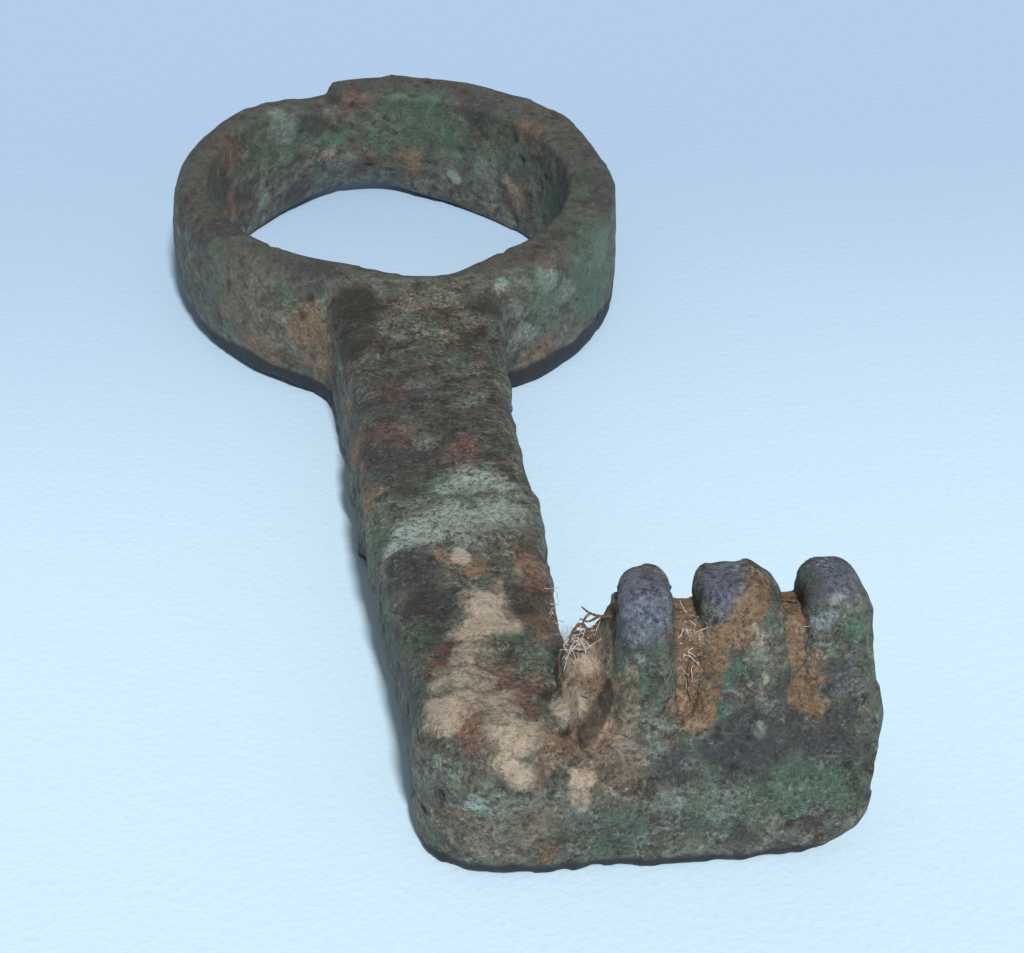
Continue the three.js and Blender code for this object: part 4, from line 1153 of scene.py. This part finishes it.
class KEY_OT_rootlets(bpy.types.Operator):
    """Draws the dead rootlets and root hairs that stand out of the earth"""

    bl_idname = "key.rootlets"
    bl_label = "Rootlets"

    def execute(self, context):
        finish = context.scene.key_finish
        bark = root_finish("rootlet_bark", finish.root, finish.soil)
        hair = root_finish("root_hair", finish.fibre, finish.soil)
        for name, lines in ROOTLETS.items():
            strands = [strand(line, thick, ROOT_TIP) for line, thick in zip(lines, ROOT_THICK)]
            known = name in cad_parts
            piece = new_piece(f"{name}_root" if known else name, *join_strands(strands), bark)
            dress(piece, "rootlet", *([name] if known else []))
        dice = np.random.default_rng(8)
        for name, count, middle, half, reach in TANGLES:
            strands = []
            for _ in range(count):
                start = np.array(middle) + dice.uniform(-1, 1, 3) * half
                along, aside = dice.normal(0, 0.3, (2, 3)) * reach
                curve = [start + along * t + aside * math.sin(t * 1.6) for t in range(4)]
                strands.append(strand(within_solids(np.array(curve)), *HAIR))
            points, faces = join_strands(strands)
            dress(new_piece(name, within_solids(points), faces, hair), "rootlet")
        return {"FINISHED"}


# ---- the paper, the light and the camera ----

# Width of the picture, focal length and shift, in pixels of it
PHOTO_WIDTH = 1024
LENS_PIXELS = 2200.0
PHOTO_SHIFT = (-12.0, 5.3)
# How far the camera looks down, stands to the side and leans
CAMERA_PITCH, CAMERA_YAW, CAMERA_ROLL = (math.radians(angle) for angle in (36.81, 9.0, 2.76))
# The point over the middle of the bow at this height, as seen from the camera: right, down and away
BOW_SEEN_HEIGHT = 3.27
BOW_SEEN = (-5.76, -12.2, 109.19)
SENSOR_WIDTH = 36.0
NEAREST_SEEN, FURTHEST_SEEN = 0.005, 5.0
PAPER_HALF_WIDTH = 2000.0
SKY_COLOUR = (0.93, 0.97, 1.0, 1.0)
LIGHT_DIRECTION, LIGHT_WIDTH = (-0.05, 0.63, -0.775), 6


def add_sun(name, strength, direction, angle):
    """A soft distant light that shines along a direction."""
    light = bpy.data.lights.new(name, "SUN")
    light.energy, light.angle = strength, math.radians(angle)
    lamp = bpy.data.objects.new(name, light)
    lamp.rotation_mode = "QUATERNION"
    lamp.rotation_quaternion = Vector(direction).to_track_quat("-Z", "Y")
    bpy.context.scene.collection.objects.link(lamp)


class KEY_OT_stage(bpy.types.Operator):
    """Lays the paper and sets the light and the camera"""

    bl_idname = "key.stage"
    bl_label = "Paper, light and camera"

    def execute(self, context):
        stage = context.scene.key_stage
        width = (-PAPER_HALF_WIDTH, PAPER_HALF_WIDTH)
        corners = [(x, y, 0.0) for x, y in rectangle(width, width)]
        floor = new_piece("paper", corners, [[0, 1, 2, 3]], paper_finish(stage), smooth=False)
        floor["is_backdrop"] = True

        world = bpy.data.worlds.new("even_light")
        world.use_nodes = True
        sky = world.node_tree.nodes["Background"]
        sky.inputs["Color"].default_value = SKY_COLOUR
        sky.inputs["Strength"].default_value = stage.sky
        context.scene.world = world
        add_sun("light_beside_camera", stage.flash, LIGHT_DIRECTION, LIGHT_WIDTH)

        sine, cosine = math.sin(CAMERA_PITCH), math.cos(CAMERA_PITCH)
        tilt = np.array([(1, 0, 0), (0, -sine, -cosine), (0, cosine, -sine)])
        turn = np.array(Matrix.Rotation(CAMERA_YAW, 3, "Z"))
        axes = tilt @ turn
        eye = np.array([0, 0, BOW_SEEN_HEIGHT]) - np.array(BOW_SEEN) @ axes
        c, s = math.cos(CAMERA_ROLL), math.sin(CAMERA_ROLL)
        right, down = c * axes[0] - s * axes[1], s * axes[0] + c * axes[1]
        lens = bpy.data.cameras.new("camera")
        lens.sensor_width = SENSOR_WIDTH
        lens.lens = LENS_PIXELS / PHOTO_WIDTH * SENSOR_WIDTH
        lens.shift_x = -PHOTO_SHIFT[0] / PHOTO_WIDTH
        lens.shift_y = PHOTO_SHIFT[1] / PHOTO_WIDTH
        lens.clip_start, lens.clip_end = NEAREST_SEEN, FURTHEST_SEEN
        camera = bpy.data.objects.new("camera", lens)
        placed = np.column_stack([right, -down, -axes[2], (eye + BOW_MIDDLE) * MM])
        camera.matrix_world = Matrix([*placed.tolist(), [0, 0, 0, 1]])
        context.scene.collection.objects.link(camera)
        context.scene.camera = camera
        context.scene.view_settings.view_transform = "Standard"
        return {"FINISHED"}


OPERATORS = (KEY_OT_stage, KEY_OT_casting, KEY_OT_crusts, KEY_OT_fills, KEY_OT_rootlets)


class KEY_PT_panel(bpy.types.Panel):
    """Lists the operators that dress the key"""

    bl_idname = "KEY_PT_panel"
    bl_label = "Bronze key"
    bl_space_type = "VIEW_3D"
    bl_region_type = "UI"
    bl_category = "Key"

    def draw(self, context):
        for operator in OPERATORS:
            self.layout.operator(operator.bl_idname)


SIZE_GROUPS = {
    "key_bow": BowSizes,
    "key_bar": BarSizes,
    "key_bit": BitSizes,
    "key_finish": Finish,
    "key_stage": PaperAndLight,
}
CLASSES = (*SIZE_GROUPS.values(), *OPERATORS, KEY_PT_panel)


def register():
    for each in CLASSES:
        bpy.utils.register_class(each)
    for name, group in SIZE_GROUPS.items():
        setattr(bpy.types.Scene, name, PointerProperty(type=group))


def unregister():
    for name in SIZE_GROUPS:
        delattr(bpy.types.Scene, name)
    for each in reversed(CLASSES):
        bpy.utils.unregister_class(each)


def main():
    register()
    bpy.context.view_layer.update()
    bpy.ops.key.stage()
    bpy.ops.key.casting()
    bpy.ops.key.crusts()
    bpy.ops.key.fills()
    bpy.ops.key.rootlets()


if __name__ == "__main__":
    main()
